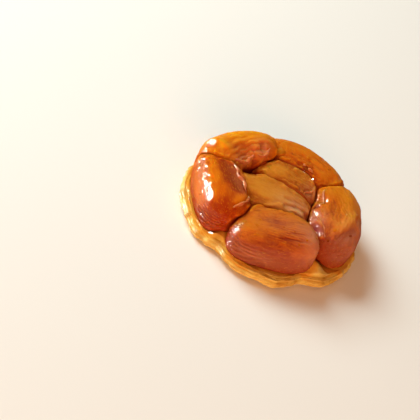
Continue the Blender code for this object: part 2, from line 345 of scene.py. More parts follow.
class NodeSheet:
    """A material's nodes, added one by one, each with its settings and what feeds its sockets."""

    def __init__(self, name: str) -> None:
        """Starts a material that has only its output and a Principled shader.

        Args:
            name: The name.
        """
        self.material = bpy.data.materials.new(name)
        self.material.use_nodes = True
        self.tree = self.material.node_tree
        self.shader = self.tree.nodes["Principled BSDF"]

    def add(self, kind: str, settings: dict[str, object] | None = None, **feeds: object) -> bpy.types.Node:
        """Adds a node.

        Args:
            kind: The node's type, without its prefix.
            settings: The node's own properties.
            **feeds: What each input holds, by its name in lower case with underscores, or in_ and
                its number. A socket is linked, and anything else is set.

        Returns:
            The node.
        """
        node = self.tree.nodes.new("ShaderNode" + kind)
        for label, value in (settings or {}).items():
            setattr(node, label, value)
        self.feed(node, **feeds)
        return node

    def feed(self, node: bpy.types.Node, **feeds: object) -> None:
        """Links or sets a node's inputs, named as for add.

        Args:
            node: The node.
            **feeds: What each input holds.
        """
        for label, value in feeds.items():
            if label.startswith("in_"):
                socket = node.inputs[int(label[3:])]
            else:
                wanted = label.replace("_", " ")
                socket = next(s for s in node.inputs if s.name.lower() == wanted and s.enabled)
            if isinstance(value, Socket):
                self.tree.links.new(value, socket)
            else:
                socket.default_value = value

    def attribute(self, label: str, output: str = "Fac") -> Socket:
        """Reads a value that the mesh carries."""
        return self.add("Attribute", {"attribute_name": label}).outputs[output]

    def scaled(self, vector: Socket, scale: Triple) -> Socket:
        """Stretches coordinates by a factor along each axis."""
        return self.add("Mapping", vector=vector, scale=scale).outputs[0]

    def noise(self, vector: Socket, scale: Triple, detail: float) -> Socket:
        """Reads noise from 0 to 1 on stretched coordinates."""
        return self.add("TexNoise", vector=self.scaled(vector, scale), scale=1.0, detail=detail).outputs[0]

    def own_noise(self, scale: float) -> Socket:
        """Reads noise from 0 to 1 on the object's own coordinates."""
        where = self.add("TexCoord").outputs["Object"]
        return self.add("TexNoise", vector=where, scale=scale, detail=2.0).outputs[0]

    def math(self, operation: str, first: object, second: object = 0.0, third: object = 0.0) -> Socket:
        """Does one sum on numbers."""
        return self.add("Math", {"operation": operation}, in_0=first, in_1=second, in_2=third).outputs[0]

    def remap(self, value: Socket, low: float, high: float, to_low: float, to_high: float) -> Socket:
        """Maps a range to another one, held at its ends, by a smooth step."""
        feeds = {f"in_{index}": end for index, end in enumerate((value, low, high, to_low, to_high))}
        return self.add("MapRange", {"interpolation_type": "SMOOTHSTEP"}, **feeds).outputs[0]

    def ramp(self, value: Socket, *stops: tuple[float, Colour]) -> Socket:
        """Turns a number into a colour between named stops.

        Args:
            value: The number.
            *stops: Numbers, each with its colour.

        Returns:
            The colour.
        """
        node = self.add("ValToRGB", fac=value)
        steps = node.color_ramp.elements
        for index, (place, colour) in enumerate(stops):
            step = steps[index] if index < 2 else steps.new(place)
            step.position, step.color = place, (*colour, 1.0)
        return node.outputs[0]

    def mix(self, share: Socket, first: object, second: object) -> Socket:
        """Mixes two colours."""
        feeds = {"in_0": share, "in_6": self.colour(first), "in_7": self.colour(second)}
        return self.add("Mix", {"data_type": "RGBA"}, **feeds).outputs[2]

    @staticmethod
    def colour(value: object) -> object:
        """Gives a plain colour its fourth number, and leaves a socket as it is."""
        return (*value, 1.0) if isinstance(value, tuple) else value

    def bump(self, height: Socket, strength: float, distance: float) -> Socket:
        """Turns a height into a normal."""
        return self.add("Bump", height=height, strength=strength, distance=distance).outputs[0]


@dataclass(frozen=True)
class FruitFinish:
    """Translucent cooked fruit under a wet glaze: paler on the crown and redder low down, partly as painted
    light and shade.
    """

    name: str
    slot: str
    pale: Colour
    body: Colour
    dark: Colour
    # The colour of the painted shade in the seams.
    dry_and_sheen: Colour
    seam_shade_colour: Colour
    roughness: float
    coat: float
    streaks: float
    soaked: Colour = (0.36, 0.035, 0.002)
    translucence: float = 0.45
    deepening: float = 0.74
    streak_cells: Triple = (0.085, 0.42, 0.42)
    patch_cells: Triple = (0.09, 0.13, 0.13)
    fine_cells: Triple = (0.35, 1.6, 1.6)
    film_cells: Triple = (0.26, 0.40, 0.40)
    crackle_cells: Triple = (0.32, 0.5, 0.5)
    curl_cells: Triple = (0.30, 0.75, 0.75)

    def material(self) -> bpy.types.Material:
        """Builds the material: a ramp of tones with streaks along it, painted shade in the seams, and dull
        patches that take a painted pinkish sheen.

        The coat is a mirror-like film with weak waves. Thin cracks, dull patches and grazing views
        break it up.

        Returns:
            The material.
        """
        sheet = NodeSheet(self.name)
        grain = sheet.attribute("grain", "Vector")
        dull, syrup = sheet.attribute("dull"), sheet.attribute("syrup")
        streaks = sheet.noise(grain, self.streak_cells, 4.0)
        patches = sheet.noise(grain, self.patch_cells, 3.0)
        fine = sheet.noise(grain, self.fine_cells, 4.0)
        tone = sheet.math("ADD", sheet.attribute("tone"), sheet.math("MULTIPLY_ADD", patches, 0.34, -0.15))
        tone = sheet.math("ADD", tone, sheet.math("MULTIPLY_ADD", streaks, self.streaks, -self.streaks / 2.0))
        deepest = tuple(self.deepening * part for part in self.dark)
        colour = sheet.ramp(tone, (0.0, deepest), (0.26, self.dark), (0.52, self.body), (1.0, self.pale))
        colour = sheet.mix(sheet.remap(fine, 0.55, 0.72, 0.0, 0.45), colour, self.pale)
        # Dull patches turn pale pinkish: partly a less glazed skin, partly a painted sheen.
        colour = sheet.mix(sheet.math("MULTIPLY", dull, 0.8), colour, self.dry_and_sheen)
        colour = sheet.mix(sheet.math("MULTIPLY", syrup, 0.55), colour, self.soaked)
        # Painted shade: the skin darkens to the seam colour where the seam mask says.
        colour = sheet.mix(sheet.attribute("crease"), colour, self.seam_shade_colour)
        gloss = sheet.math("MULTIPLY_ADD", dull, 0.2, self.roughness)
        height = sheet.math("MULTIPLY_ADD", fine, 0.5, streaks)

        film = sheet.noise(grain, self.film_cells, 0.6)
        uneven = sheet.math("MULTIPLY_ADD", syrup, 1.6, 0.9)
        feature, crackled = {"feature": "DISTANCE_TO_EDGE"}, sheet.scaled(grain, self.crackle_cells)
        edges = sheet.add("TexVoronoi", feature, vector=crackled, scale=1.0).outputs[0]
        crackle = sheet.remap(edges, 0.0, 0.12, 0.0, 0.05)
        wet = sheet.bump(sheet.math("MULTIPLY_ADD", film, uneven, crackle), 1.0, 0.0007)
        curls = sheet.noise(grain, self.curl_cells, 2.5)
        from_crack = sheet.math("ABSOLUTE", sheet.math("SUBTRACT", curls, 0.5))
        cracked = sheet.remap(from_crack, 0.006, 0.028, 0.04, 1.0)
        grazing = sheet.add("LayerWeight", blend=0.5).outputs["Facing"]
        kept = sheet.math("MULTIPLY", cracked, sheet.remap(grazing, 0.45, 0.80, 1.0, 0.15))
        coat = sheet.math("MULTIPLY", kept, sheet.math("MULTIPLY_ADD", dull, -self.coat * 0.85, self.coat))
        sheet.feed(
            sheet.shader, base_color=colour, roughness=gloss, normal=sheet.bump(height, 0.35, 0.0004),
            subsurface_weight=self.translucence, subsurface_radius=(1.0, 0.25, 0.05), subsurface_scale=0.004,
            coat_weight=coat, coat_roughness=0.03, coat_ior=1.3, coat_normal=wet, ior=1.42,
            specular_ior_level=0.0,
        )
        return sheet.material


@dataclass(frozen=True)
class PastryFinish:
    """Baked puff pastry: golden, browned on its edges, pale between its layers, stained by caramel, and
    lightened beside the fruit as painted light.
    """

    name: str = "baked_pastry"
    slot: str = "baked_pastry"
    pale: Colour = (0.82, 0.55, 0.17)
    golden: Colour = (0.80, 0.50, 0.11)
    brown: Colour = (0.54, 0.23, 0.03)
    # Lighter than the golden crust: a caramel soak colour that is also painted light beside the fruit.
    stain: Colour = (0.96, 0.60, 0.07)
    syrup: Colour = (0.66, 0.17, 0.010)
    roughness: float = 0.42
    layer_cells: Triple = (0.07, 0.5, 0.8)
    patch_cells: Triple = (0.17, 0.28, 0.28)
    crumb_cells: Triple = (0.9, 1.6, 1.6)

    def material(self) -> bpy.types.Material:
        """Builds the material: a ramp of baking with painted shade and light in it, thin layers on the side,
        and a wet caramel soak that is also painted light beside the fruit.

        Returns:
            The material.
        """
        sheet = NodeSheet(self.name)
        wrap = sheet.attribute("wrap", "Vector")
        layers = sheet.noise(wrap, self.layer_cells, 3.0)
        patches = sheet.noise(wrap, self.patch_cells, 4.0)
        crumbs = sheet.noise(wrap, self.crumb_cells, 5.0)
        baked = sheet.math("ADD", sheet.attribute("bake"), sheet.math("MULTIPLY_ADD", patches, 1.3, -0.65))
        baked = sheet.math("ADD", baked, sheet.math("MULTIPLY_ADD", layers, 0.22, -0.11))
        tone = sheet.ramp(baked, (0.0, self.pale), (0.45, self.golden), (1.0, self.brown))
        soaked = sheet.attribute("soak")
        # Beside the fruit the soak mixes in a light caramel colour, partly painted light where the fruit's
        # shade falls.
        tone = sheet.mix(soaked, tone, self.stain)
        tone = sheet.mix(sheet.attribute("syrup"), tone, self.syrup)
        gloss = sheet.remap(soaked, 0.0, 0.5, self.roughness, 0.16)
        height = sheet.math("MULTIPLY_ADD", crumbs, 0.4, layers)
        sheet.feed(
            sheet.shader, base_color=tone, roughness=gloss, normal=sheet.bump(height, 0.4, 0.0005),
            subsurface_weight=0.15, subsurface_radius=(1.0, 0.5, 0.2), subsurface_scale=0.0015,
            coat_weight=sheet.remap(soaked, 0.0, 0.6, 0.03, 0.30), coat_roughness=0.12,
            specular_ior_level=0.15,
        )
        return sheet.material


@dataclass(frozen=True)
class CaramelFinish:
    """Dark wet caramel that lies between the pieces."""

    name: str = "caramel"
    slot: str = "caramel"
    deep: Colour = (0.30, 0.012, 0.002)
    thin: Colour = (0.34, 0.045, 0.003)
    flesh: Colour = (0.50, 0.095, 0.004)

    def material(self) -> bpy.types.Material:
        """Builds the material: darker where it is deep, with a mirror-like coat.

        Returns:
            The material.
        """
        sheet = NodeSheet(self.name)
        tone = sheet.mix(sheet.attribute("depth"), self.thin, self.deep)
        tone = sheet.mix(sheet.attribute("flesh"), tone, self.flesh)
        ripple = sheet.bump(sheet.own_noise(220.0), 0.15, 0.0004)
        sheet.feed(
            sheet.shader, base_color=tone, roughness=0.25, normal=ripple,
            coat_weight=0.4, coat_roughness=0.03, subsurface_weight=0.15,
            subsurface_radius=(1.0, 0.2, 0.05), subsurface_scale=0.002, coat_ior=1.3,
        )
        return sheet.material


@dataclass(frozen=True)
class FloorFinish:
    """The plain pale floor."""

    name: str = "pale_floor"
    tone: Colour = (0.86, 0.76, 0.66)
    shade: Colour = (0.80, 0.69, 0.59)

    def material(self) -> bpy.types.Material:
        """Builds the material: one pale tone with the faintest unevenness.

        Returns:
            The material.
        """
        sheet = NodeSheet(self.name)
        tone = sheet.mix(sheet.remap(sheet.own_noise(3.0), 0.3, 0.7, 0.0, 0.04), self.tone, self.shade)
        sheet.feed(sheet.shader, base_color=tone, roughness=0.7, specular_ior_level=0.2)
        return sheet.material


class Cooked(Enum):
    """How far a piece of fruit is cooked, which sets its finish."""

    AMBER = FruitFinish(
        "amber_fruit", "amber_fruit", pale=(0.73, 0.225, 0.003), body=(0.57, 0.112, 0.003),
        dark=(0.36, 0.038, 0.004), dry_and_sheen=(0.60, 0.20, 0.07), seam_shade_colour=(0.24, 0.008, 0.002),
        roughness=0.45, coat=0.9, streaks=0.36,
    )
    RUSSET = FruitFinish(
        "russet_fruit", "russet_fruit", pale=(0.63, 0.195, 0.006), body=(0.52, 0.108, 0.006),
        dark=(0.28, 0.032, 0.005), dry_and_sheen=(0.58, 0.20, 0.10), seam_shade_colour=(0.24, 0.008, 0.002),
        roughness=0.5, coat=0.8, streaks=0.36,
    )
    OCHRE = FruitFinish(
        "ochre_fruit", "ochre_fruit", pale=(0.60, 0.215, 0.020), body=(0.50, 0.150, 0.012),
        dark=(0.34, 0.07, 0.006), dry_and_sheen=(0.70, 0.31, 0.13), seam_shade_colour=(0.24, 0.012, 0.002),
        roughness=0.55, coat=0.4, streaks=0.18,
    )
    LIP = FruitFinish(
        "wet_lip", "amber_fruit", pale=(0.72, 0.28, 0.11), body=(0.58, 0.16, 0.05),
        dark=(0.42, 0.07, 0.015), dry_and_sheen=(0.70, 0.30, 0.15), seam_shade_colour=(0.24, 0.012, 0.002),
        roughness=0.45, coat=1.0, streaks=0.6,
    )


@dataclass(frozen=True)
class Fold:
    """A groove, or with a negative depth a ridge, from one place on the skin to another.

    A place is a share of the half length along the piece and a direction round it in degrees,
    where 0 is the outer side, 90 the top and 180 the inner side. The bow bends the line between
    them, in degrees at its middle.
    """

    start: Pair
    end: Pair
    width: float
    depth: float
    bow: float = 0.0


@dataclass(frozen=True)
class Wrinkles:
    """A patch of nearly parallel wrinkles that run along the piece, round a place on its skin."""

    middle: Pair
    reach_along: float
    reach_round: float
    spacing: float
    depth: float
    slant: float = 0.0
    wander: float = 1.1


@dataclass(frozen=True)
class Blush:
    """A soft patch round a place on the skin, paler or darker and duller or not: some follow how the fruit
    cooked, some are painted light or shade.
    """

    middle: Pair
    reach_along: float
    reach_round: float
    tone: float
    dull: float = 0.0


@dataclass(frozen=True)
class Pastry:
    """The disc of puff pastry, with notches in its rim and rises between the quarters."""

    radius: float = 54.3
    flat_base_radius: float = 42.0
    rim_height: float = 7.0
    rim_undercut: float = 1.1
    rim_round: float = 3.4
    rim_side_power: float = 2.6
    bed: float = 6.3
    lip_height: float = 0.8
    lip_width: float = 3.2
    layers: int = 3
    layer_depth: float = 1.0
    flake_height: float = 0.55
    flake_waves: tuple[int, ...] = (7, 11, 17)
    flake_seed: int = 11
    rim_notches: tuple[Triple, ...] = (
        (247.0, 3.9, 9.0), (309.0, 4.6, 10.0), (50.0, 2.4, 11.0), (113.0, 2.8, 10.0),
        (276.0, 1.2, 24.0),
    )
    bed_rises: tuple[Triple, ...] = (
        (243.0, 4.5, 7.0), (323.0, 5.6, 8.0), (47.0, 2.4, 7.0), (113.0, 2.4, 7.0), (178.0, 1.2, 6.0),
    )
    rise_radius: float = 42.0
    rise_reach: float = 9.0
    nibble_length: float = 6.0
    nibble_depth: float = 1.2
    groove_place: float = 3.0
    groove_width: float = 0.8
    groove_depth: float = 0.5
    terraces: float = 3.2
    terrace_height: float = 0.24
    flake_relief: float = 0.34
    bubble_relief: float = 0.62
    wander: float = 1.8
    riser_start: float = 0.70
    top_crowding: float = 0.8
    base_band: Pair = (0.6, 0.0)
    rim_band: Pair = (14.0, 3.0)
    upper_band: Pair = (3.6, 5.4)
    foot_band: Pair = (2.7, 1.8)
    flake_cells: Triple = (11.0, 11.0, 0.75)
    bubble_cells: Triple = (6.0, 6.0, 3.0)
    slow_cells: Triple = (13.0, 13.0, 1.0)
    terrace_cells: Triple = (15.0, 15.0, 3.6)
    baked_top: float = 0.22
    baked_rim: float = 0.2
    side_bake_and_shade: float = 0.52
    groove_darkening: float = 0.25
    baked_riser: float = 0.45
    baked_step: float = 0.06
    dip_shade: float = 0.4
    edge_light_paint: float = 0.40
    columns: int = 640
    base_rings: int = 10
    side_rings: int = 66
    top_rings: int = 62
    finish: PastryFinish = PastryFinish()

    def flake_wave(self, around: Array, height: Array | float) -> Array:
        """Works out uneven waves round the rim: a sum of sines that slide along with the height.

        Args:
            around: Directions in radians.
            height: Heights in millimetres.

        Returns:
            A number from about -1 to 1.
        """
        draw = np.random.default_rng(self.flake_seed)
        total = np.zeros_like(around * 1.0)
        for count in self.flake_waves:
            phase, slide = draw.uniform(0.0, math.tau), draw.uniform(-0.5, 0.5)
            total = total + np.sin(count * around + phase + slide * height)
        return total / len(self.flake_waves)

    def rim_radius(self, around: Array) -> Array:
        """Gives how far the rim reaches in a direction: a circle less a bell curve at each notch.

        Args:
            around: Directions in radians.

        Returns:
            The rim's distances from the middle.
        """
        reach = np.full_like(around, self.radius)
        for direction, depth, half_width in self.rim_notches:
            reach -= depth * bell(degrees_apart(np.degrees(around), direction) / half_width)
        return reach

    def bed_height(self, x: Array, y: Array) -> Array:
        """Gives the top of the pastry: level, with a bell-shaped rise between quarters and a lip.

        Args:
            x: Places along X.
            y: Places along Y.

        Returns:
            The heights.
        """
        around, from_middle = np.arctan2(y, x), np.hypot(x, y)
        height = np.full_like(from_middle, self.bed)
        near_ring = bell((from_middle - self.rise_radius) / self.rise_reach)
        for direction, rise, half_width in self.bed_rises:
            height += rise * near_ring * bell(degrees_apart(np.degrees(around), direction) / half_width)
        from_lip = (from_middle - self.rim_radius(around) + self.lip_width) / self.lip_width
        return height + self.lip_height * bell(from_lip)

    def skin(self) -> Skin:
        """Makes the surface: rings out along the base, up the layered side and in over the top.

        The side is half a superellipse with a groove between layers. Flakes and bubbles are noise
        that is stretched round the disc.

        Returns:
            The skin, with how far it is baked, painted shade on its side, painted light along its edges, and
            its coordinates round, out and up.
        """
        around = all_round(self.columns)
        outside = self.rim_radius(around)
        waves = self.flake_height * self.flake_wave(around, 0.0)
        base_share = np.linspace(0.12, 1.0, self.base_rings)[:, None]
        base_radius = self.flat_base_radius * base_share * np.ones_like(around)

        climb = np.linspace(-0.5, 0.5, self.side_rings + 2)[1:-1, None] * math.pi
        inward = self.rim_round * (1.0 - np.abs(np.cos(climb)) ** (2.0 / self.rim_side_power))
        lift = np.sign(climb) * np.abs(np.sin(climb)) ** (2.0 / self.rim_side_power)
        half_height = (self.rim_height - self.rim_undercut) / 2.0
        side_height = self.rim_undercut + half_height * (1.0 + lift) * np.ones_like(around)
        share = climb / math.pi + 0.5
        groove = 0.5 + 0.5 * np.cos(math.tau * self.layers * share)
        flakes = self.flake_wave(around, side_height)
        edge = (np.cos(around) * self.radius, np.sin(around) * self.radius, np.zeros_like(around))
        nibbles = Grain(32).layered(cells(edge, *[self.nibble_length] * 3), 3)
        nibbled = outside - self.nibble_depth * (0.5 + nibbles)
        side_radius = nibbled - inward - self.layer_depth * groove * (1.0 + 0.5 * flakes)

        inside = 1.0 - (np.arange(self.top_rings)[:, None] + 0.6) / (self.top_rings + 0.6)
        top_radius = (nibbled - self.rim_round) * inside**self.top_crowding

        radius = np.concatenate((base_radius, side_radius, top_radius))
        x, y = radius * np.cos(around), radius * np.sin(around)
        top_height = self.bed_height(x[-self.top_rings:], y[-self.top_rings:])
        z = np.concatenate((np.zeros_like(base_radius), side_height + waves, top_height))
        bare = Skin(x, y, z)
        return self.roughened(bare, around * np.ones_like(radius), radius)

    def roughened(self, bare: Skin, around: Array, radius: Array) -> Skin:
        """Adds flakes, bubbles and the values that the finish reads.

        Args:
            bare: The plain skin.
            around: The direction of each place, in radians.
            radius: Its distance from the middle.

        Returns:
            The finished skin.
        """
        grain, x, y, z = Grain(31), bare.x, bare.y, bare.z
        on_side = np.zeros_like(radius)
        on_side[self.base_rings:self.base_rings + self.side_rings] = 1.0
        on_base = ease(radius - self.flat_base_radius, 3.0, -1.0) * ease(z, *self.base_band)
        edge = ease(self.radius - radius, *self.rim_band)
        upper = ease(z, *self.upper_band)
        rim_x, rim_y = np.cos(around) * self.radius, np.sin(around) * self.radius
        flakes = grain.layered(cells((rim_x, rim_y, z), *self.flake_cells), 3)
        bubble = grain.layered(cells((x, y, z), *self.bubble_cells), 4)
        slow = grain.layered(cells((x, y, np.full_like(radius, 4.4)), *self.slow_cells), 2)

        from_edge = self.rim_radius(around) - radius
        groove = upper * bell((from_edge - self.groove_place - self.wander * slow) / self.groove_width)
        groove *= ease(flakes, -0.5, 0.4)
        bands = cells((rim_x, rim_y, radius + 1.2 * z), *self.terrace_cells)
        level = Grain(33).layered(bands, 3) * self.terraces
        riser = ease(level - np.floor(level), self.riser_start, 1.0)
        stepped = np.floor(level) + riser
        # Painted light: paler along the rim's top edge and at the foot of its side.
        edge_light_mask = 0.7 * bell((from_edge - 0.4) / 1.1) * upper + 1.3 * on_side * ease(z, *self.foot_band)

        height = self.bubble_relief * bubble * (0.35 + 0.65 * edge) * (1.0 - 0.6 * on_side)
        height += self.flake_relief * flakes * on_side - self.groove_depth * groove
        height += self.terrace_height * stepped * edge * (1.0 - 0.4 * on_side)
        finished = bare.raised(height * (1.0 - on_base))
        finished.z = np.maximum(finished.z, 0.0)

        # Painted shade: the rim's side is darker, partly baking and partly shade.
        baked = self.baked_top + self.baked_rim * edge * (1.0 - on_side) + self.side_bake_and_shade * on_side
        # The groove is darker.
        baked += self.groove_darkening * groove + self.baked_riser * riser * (1.0 - riser) * edge
        baked -= self.dip_shade * np.clip(-height * 1.6, -0.5, 0.5) + self.edge_light_paint * edge_light_mask
        finished.values["bake"] = np.clip(baked - self.baked_step * stepped * edge, 0.0, 1.0)
        finished.values["wrap"] = np.stack((around * self.radius, radius, z), axis=-1)
        return finished


@dataclass(frozen=True)
class Fruit:
    """One piece of cooked fruit. Its outer side is on the left of its long axis.

    A field is 0 at its middle and 1 on its skin. Where two pieces press together, each gives way
    until its own field is no more than its neighbour's.
    """

    name: str
    middle: Pair
    turn: float
    half_length: float
    inner_width: float
    outer_width: float
    crown: float
    end_power: float
    side_power: float
    seed: int
    cooked: Cooked
    folds: tuple[Fold, ...]
    wrinkles: tuple[Wrinkles, ...] = ()
    blushes: tuple[Blush, ...] = ()
    tone: float = 0.5
    taper: float = 0.0
    end_lift: float = 0.0
    middle_height: float = 15.0
    root: float = 17.0
    bend_radius: float | None = None
    swell_share: float = 0.018
    swell_turns: tuple[int, ...] = (1, 2, 3)
    lump_depth: float = 0.45
    dent_depth: float = 0.14
    ridge_depth: float = 0.22
    fold_gain: float = 1.15
    crack_depth: float = 0.30
    crack_width: float = 0.09
    fibre_depth: float = 0.05
    fibre_tone: float = 0.08
    pore_share: float = 0.6
    fold_fade: float = 0.6
    wrinkle_power: float = 0.8
    wrinkle_gain: float = 1.3
    wander_cells: Triple = (7.0, 6.0, 6.0)
    lump_cells: Triple = (9.0, 7.0, 7.0)
    dent_cells: Triple = (4.4, 3.4, 3.4)
    ridge_cells: Triple = (17.0, 4.2, 4.2)
    vein_cells: Triple = (9.0, 3.6, 3.6)
    cracked_cells: Triple = (8.0, 8.0, 8.0)
    thread_cells: Triple = (8.0, 1.5, 1.5)
    pore_cells: Triple = (1.3, 1.0, 1.0)

    @property
    def own_shift(self) -> float:
        """Gives how far the piece's coordinates are shifted, so that no two pieces look alike."""
        return 50.0 * self.seed

    def to_frame(self, own: Places) -> Places:
        """Turns places along the spine, out from it and above it into x, y and z.

        Args:
            own: Places along the spine, which may be an arc, out from it and above it.

        Returns:
            The places in the frame of the solids.
        """
        along, across, up = own
        if self.bend_radius:
            swing = along / self.bend_radius
            forward = (self.bend_radius + across) * np.sin(swing)
            outward = (self.bend_radius + across) * np.cos(swing) - self.bend_radius
        else:
            forward, outward = along, across
        turn = math.radians(self.turn)
        x = self.middle[0] + forward * math.cos(turn) - outward * math.sin(turn)
        y = self.middle[1] + forward * math.sin(turn) + outward * math.cos(turn)
        return x, y, self.middle_height + up

    def from_frame(self, places: Places) -> Places:
        """Does the reverse of to_frame.

        Args:
            places: Places in the frame of the solids.

        Returns:
            The piece's own places.
        """
        x, y, z = places
        turn = math.radians(self.turn)
        from_x, from_y = x - self.middle[0], y - self.middle[1]
        along = from_x * math.cos(turn) + from_y * math.sin(turn)
        outward = from_y * math.cos(turn) - from_x * math.sin(turn)
        if self.bend_radius:
            forward = along
            along = self.bend_radius * np.arctan2(forward, outward + self.bend_radius)
            outward = np.hypot(forward, outward + self.bend_radius) - self.bend_radius
        return along, outward, z - self.middle_height

    def field(self, own: Places) -> Array:
        """Works out the field: a superellipse across, closed along the length by a second one.

        Args:
            own: The piece's own places, along, out from and above its spine.

        Returns:
            0 at the middle of the piece and 1 on its skin, growing evenly outwards.
        """
        along, across, up = own
        share = along / self.half_length
        width = np.where(across > 0.0, self.outer_width, self.inner_width)
        width = width * (1.0 + self.taper * np.clip(share, -1.2, 1.2))
        height = np.where(up > 0.0, self.crown, self.root)
        height = height * (1.0 + self.end_lift * np.clip(share, -1.2, 1.2))
        section = np.abs(across / width) ** self.side_power + np.abs(up / height) ** self.side_power
        ends = np.abs(share) ** self.end_power
        return (ends + section ** (self.end_power / self.side_power)) ** (1.0 / self.end_power)

    def frame_field(self, places: Places) -> Array:
        """Works out the field at places in the frame of the solids."""
        return self.field(self.from_frame(places))

    def swell(self, own: Places) -> Array:
        """Gives a slow unevenness of the skin, as a share of its distance: a sum of seeded sines.

        Args:
            own: The piece's own places.

        Returns:
            How far the skin swells at each place.
        """
        draw = np.random.default_rng(self.seed)
        total = np.zeros_like(own[0])
        for turns in self.swell_turns:
            for way, length in zip(own, (self.half_length, self.outer_width, self.crown)):
                total += np.sin(turns * math.pi * (way / length) / 2.0 + draw.uniform(0.0, math.tau)) / turns
        return self.swell_share * total

    def patch(self, own: Places, spot: "Wrinkles | Blush") -> tuple[Array, Array, Array]:
        """Measures a patch on the unrolled skin.

        Args:
            own: The piece's own places.
            spot: The patch, with its middle and its reach.

        Returns:
            How far the places lie from its middle, along the piece and round it, and its bell curve.
        """
        along, across, up = own
        turned = degrees_apart(np.degrees(np.arctan2(up, across)), spot.middle[1])
        from_along = along - spot.middle[0] * self.half_length
        from_round = turned * np.radians(np.hypot(across, up))
        window = np.exp(-((from_along / spot.reach_along) ** 2) - (from_round / spot.reach_round) ** 2)
        return from_along, from_round, window

    def fold_depth(self, own: Places) -> Array:
        """Adds up the folds: each is a bell-shaped groove about a line, which fades at its ends.

        Args:
            own: The piece's own places.

        Returns:
            How deep the folds are at each place, in millimetres.
        """
        along, across, up = own
        angle = np.degrees(np.arctan2(up, across))
        round_scale = np.radians(np.hypot(across, up))
        total = np.zeros_like(along)
        for fold in self.folds:
            (first_share, first_angle), (last_share, last_angle) = fold.start, fold.end
            run_along = (last_share - first_share) * self.half_length
            run_round = math.radians(last_angle - first_angle) * self.crown
            from_along = along - first_share * self.half_length
            from_round = np.radians(degrees_apart(angle, first_angle)) * self.crown
            share = (from_along * run_along + from_round * run_round) / (run_along**2 + run_round**2)
            share = np.clip(share, 0.0, 1.0)
            hump = 4.0 * share * (1.0 - share)
            line_angle = first_angle + share * (last_angle - first_angle) + fold.bow * hump
            apart = np.hypot(from_along - share * run_along, degrees_apart(angle, line_angle) * round_scale)
            total += fold.depth * hump**self.fold_fade * bell(apart / fold.width)
        return total

    def wrinkle_depth(self, own: Places, grain: Grain) -> Array:
        """Adds up the patches of wrinkles: sharp-topped waves whose lines wander with the noise.

        Args:
            own: The piece's own places.
            grain: The noise that makes them wander.

        Returns:
            How deep the wrinkles are at each place, in millimetres.
        """
        wander = grain.layered(cells(own, *self.wander_cells), 2)
        total = np.zeros_like(own[0])
        for patch in self.wrinkles:
            from_along, from_round, window = self.patch(own, patch)
            phase = (from_round + patch.slant * from_along) / patch.spacing + patch.wander * wander
            wave = 1.0 - np.abs(np.sin(math.pi * phase)) ** self.wrinkle_power
            total += patch.depth * window * wave * self.wrinkle_gain
        return total

    def relief(self, own: Places, grain: Grain) -> Array:
        """Adds up lumps, dents, soft ridges along the piece, fine cracks, folds and wrinkles.

        Args:
            own: The piece's own places.
            grain: The piece's own noise.

        Returns:
            How far the skin stands out, in millimetres.
        """
        lumps = grain.layered(cells(own, *self.lump_cells), 3)
        dents = grain.at(cells(own, *self.dent_cells) + 3.3)
        ridges = np.abs(grain.layered(cells(own, *self.ridge_cells) + 7.7, 2))
        total = self.lump_depth * lumps + self.dent_depth * dents - self.ridge_depth * (1.0 - 2.2 * ridges)
        veins = grain.layered(cells(own, *self.vein_cells) + 21.1, 3)
        cracked = ease(grain.at(cells(own, *self.cracked_cells) + 31.7), -0.35, 0.35)
        total -= self.crack_depth * cracked * bell(veins / self.crack_width)
        return total - self.fold_depth(own) * self.fold_gain - self.wrinkle_depth(own, grain)

    def fibres(self, own: Places, grain: Grain) -> Array:
        """Makes fibres along the piece and small pores, as a share of the fibres' depth."""
        threads = grain.layered(cells(own, *self.thread_cells), 3)
        return threads - self.pore_share * ease(grain.at(cells(own, *self.pore_cells)), 0.15, 0.6)

    def blush(self, own: Places) -> tuple[Array, Array]:
        """Adds up the blushes: each is a bell-shaped patch on the unrolled skin.

        Args:
            own: The piece's own places.

        Returns:
            The tone, from 0 for dark to 1 for pale, and how dull the skin is.
        """
        tone, dull = np.full_like(own[0], self.tone), np.zeros_like(own[0])
        for blush in self.blushes:
            window = self.patch(own, blush)[2]
            tone += blush.tone * window
            dull += blush.dull * window
        return tone, np.clip(dull, 0.0, 1.0)


